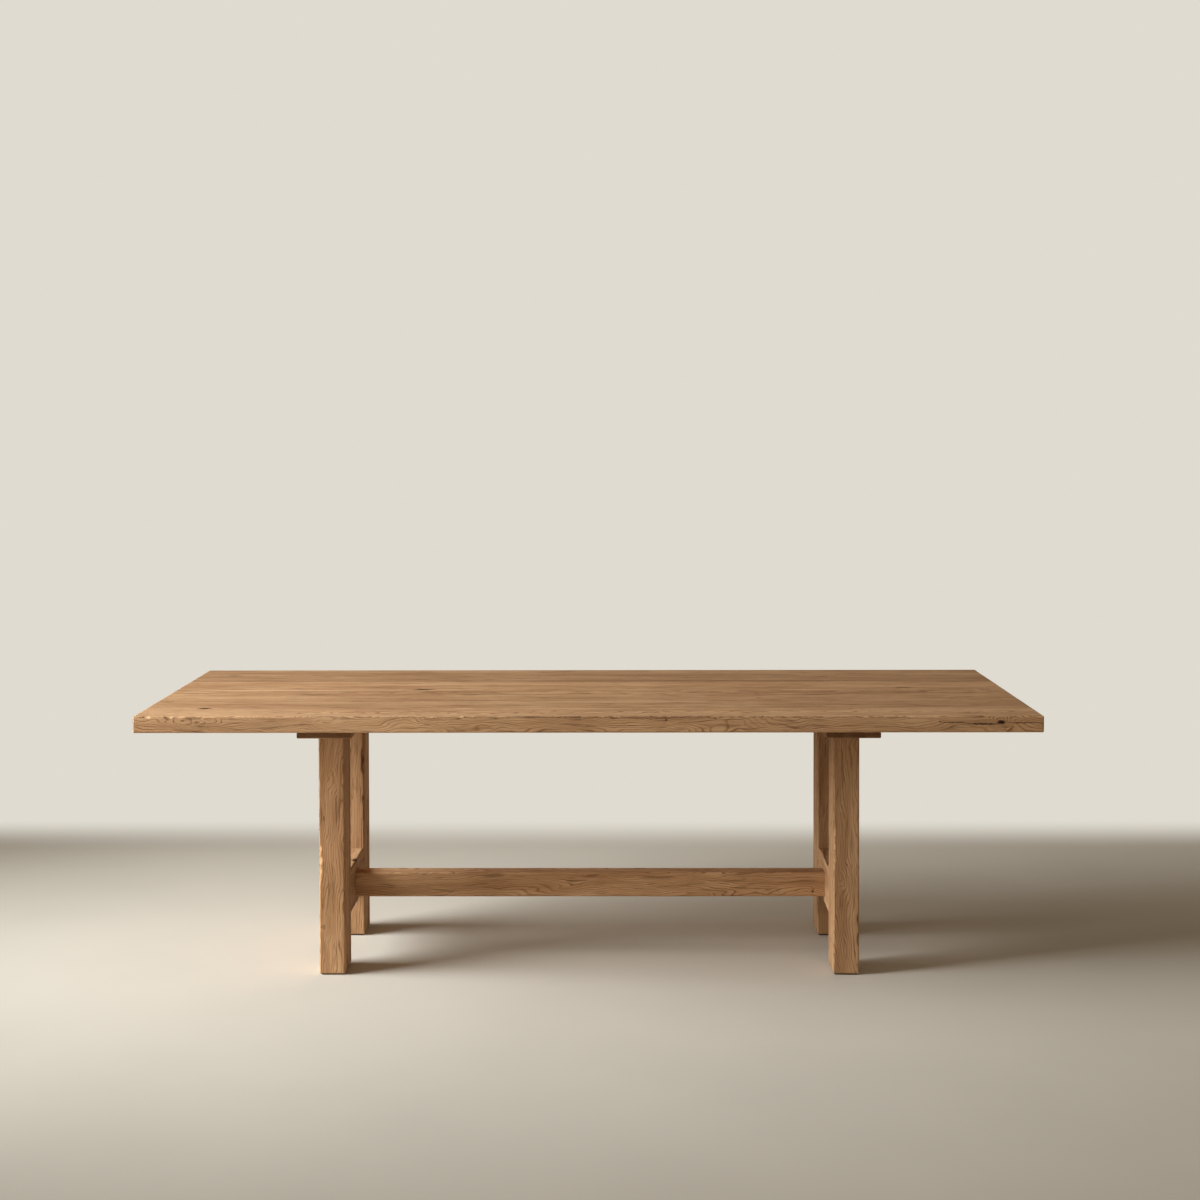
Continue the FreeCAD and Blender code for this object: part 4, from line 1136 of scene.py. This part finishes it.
class TABLE_OT_stage(bpy.types.Operator):
    """Floor, backdrop, window light and camera"""
    bl_idname = "table.stage"
    bl_label = "Stage"

    def execute(self, context):
        stage = context.scene.table_stage
        scene = context.scene
        scene.view_settings.view_transform = "Standard"

        floor_mesh = bpy.data.meshes.new("floor")
        bm = bmesh.new()
        bmesh.ops.create_circle(bm, cap_ends=True, segments=96, radius=40)
        bm.to_mesh(floor_mesh)
        bm.free()
        floor = bpy.data.objects.new("floor", floor_mesh)
        scene.collection.objects.link(floor)

        material = bpy.data.materials.new("Trowelled_plaster_floor")
        material.use_nodes = True
        tree = material.node_tree
        surface = tree.nodes["Principled BSDF"]
        surface.inputs["Roughness"].default_value = 0.85
        surface.inputs["Specular IOR Level"].default_value = 0.2
        add(tree, "ShaderNodeTexCoord")
        place = tree.nodes[-1].outputs["Object"]
        cloud = add(tree, "ShaderNodeTexNoise", {"Vector": place, "Scale": 1.6,
                                                 "Detail": 5.0})
        colour = add(tree, "ShaderNodeMix",
                     [cloud, (*[c * 0.93 for c in stage.floor], 1),
                      (*[min(1, c * 1.07) for c in stage.floor], 1)], data_type="RGBA")
        tree.links.new(colour, surface.inputs["Base Color"])
        depth = add(tree, "ShaderNodeSeparateXYZ", [place]).node.outputs["Y"]
        behind = add(tree, "ShaderNodeMapRange", [depth, 1.25, 1.75, 0.0, 1.0],
                     interpolation_type="SMOOTHSTEP")
        out = add(tree, "ShaderNodeVectorMath", [place], operation="LENGTH")
        around = add(tree, "ShaderNodeMapRange", [out, 3.2, 7.0, 0.0, 1.0],
                     interpolation_type="SMOOTHSTEP")
        far = add(tree, "ShaderNodeMath", [behind, around], operation="MAXIMUM")
        seen = add(tree, "ShaderNodeLightPath")
        glow = add(tree, "ShaderNodeEmission", {"Color": (*stage.backdrop, 1)})
        fade = add(tree, "ShaderNodeMath", [far, seen], operation="MULTIPLY")
        both = add(tree, "ShaderNodeMixShader", [fade, surface.outputs[0], glow])
        tree.links.new(both, tree.nodes["Material Output"].inputs["Surface"])
        floor_mesh.materials.append(material)

        world = bpy.data.worlds.new("Studio")
        scene.world = world
        world.use_nodes = True
        tree = world.node_tree
        direct = add(tree, "ShaderNodeLightPath")
        towards = add(tree, "ShaderNodeTexCoord")
        rise = add(tree, "ShaderNodeSeparateXYZ", [towards]).node.outputs["Z"]
        level = add(tree, "ShaderNodeMapRange",
                    [rise, 0.0, 1.0, stage.fill, stage.ceiling])
        lit = add(tree, "ShaderNodeMix", [level, (0, 0, 0, 1), (*linear("ffe9cb"), 1)],
                  data_type="RGBA", clamp_factor=False)
        colour = add(tree, "ShaderNodeMix", [direct, lit, (*stage.backdrop, 1)],
                     data_type="RGBA")
        tree.links.new(colour, tree.nodes["Background"].inputs["Color"])

        lamp = bpy.data.lights.new("window", "AREA")
        lamp.shape = "RECTANGLE"
        lamp.size, lamp.size_y = 2.4, 2.6
        lamp.spread = math.radians(78)
        lamp.energy = stage.window_power
        lamp.color = linear("f8fdff")
        window = bpy.data.objects.new("window", lamp)
        window.location = (-4.0, -0.85, 2.0)
        to_table = Vector((0.1, 0, 0.95)) - window.location
        window.rotation_euler = to_table.to_track_quat("-Z", "Y").to_euler()
        scene.collection.objects.link(window)

        # The camera stands a little right of the middle at standing eye height.
        yaw, pitch, roll = -0.0077, 0.0240, -0.0021
        ahead = Vector((math.sin(yaw) * math.cos(pitch), math.cos(yaw) * math.cos(pitch),
                        -math.sin(pitch)))
        right = Vector((math.cos(yaw), -math.sin(yaw), 0))
        up = right.cross(ahead)
        turned_right = right * math.cos(roll) + up * math.sin(roll)
        turned_up = up * math.cos(roll) - right * math.sin(roll)
        lens = bpy.data.cameras.new("camera")
        lens.sensor_width = 36
        lens.lens = 53.78
        lens.shift_y = -0.1079
        camera = bpy.data.objects.new("camera", lens)
        turn = Matrix((turned_right, turned_up, -ahead)).transposed()
        camera.matrix_world = (Matrix.Translation((0.07167, -5.23579, 1.53205)) @
                               turn.to_4x4())
        scene.collection.objects.link(camera)
        scene.camera = camera
        return {"FINISHED"}


STEPS = (TABLE_OT_stage, TABLE_OT_top_boards, TABLE_OT_tongues, TABLE_OT_cleats,
         TABLE_OT_cross_rails, TABLE_OT_posts, TABLE_OT_stretcher, TABLE_OT_felt_pads,
         TABLE_OT_stretcher_bolts, TABLE_OT_bolt_washers, TABLE_OT_barrel_nuts,
         TABLE_OT_top_screws, TABLE_OT_screw_washers)


class TABLE_PT_steps(bpy.types.Panel):
    """Pieces of the table, in the order they are made"""
    bl_label = "Trestle table"
    bl_idname = "TABLE_PT_steps"
    bl_space_type = "VIEW_3D"
    bl_region_type = "UI"
    bl_category = "Table"

    def draw(self, context):
        layout = self.layout
        for step in STEPS:
            layout.operator(step.bl_idname)
        for settings in (context.scene.table_oak, context.scene.table_fasteners,
                         context.scene.table_stage):
            column = layout.column()
            for name in settings.bl_rna.properties.keys():
                if name not in ("rna_type", "name"):
                    column.prop(settings, name)


CLASSES = (OakSettings, FastenerSettings, StageSettings, *STEPS, TABLE_PT_steps)


def register():
    for cls in CLASSES:
        bpy.utils.register_class(cls)
    bpy.types.Scene.table_oak = bpy.props.PointerProperty(type=OakSettings)
    bpy.types.Scene.table_fasteners = bpy.props.PointerProperty(type=FastenerSettings)
    bpy.types.Scene.table_stage = bpy.props.PointerProperty(type=StageSettings)


def unregister():
    del bpy.types.Scene.table_stage
    del bpy.types.Scene.table_fasteners
    del bpy.types.Scene.table_oak
    for cls in reversed(CLASSES):
        bpy.utils.unregister_class(cls)


def main():
    register()
    for step in STEPS:
        group, name = step.bl_idname.split(".")
        getattr(getattr(bpy.ops, group), name)()


if __name__ == "__main__":
    main()
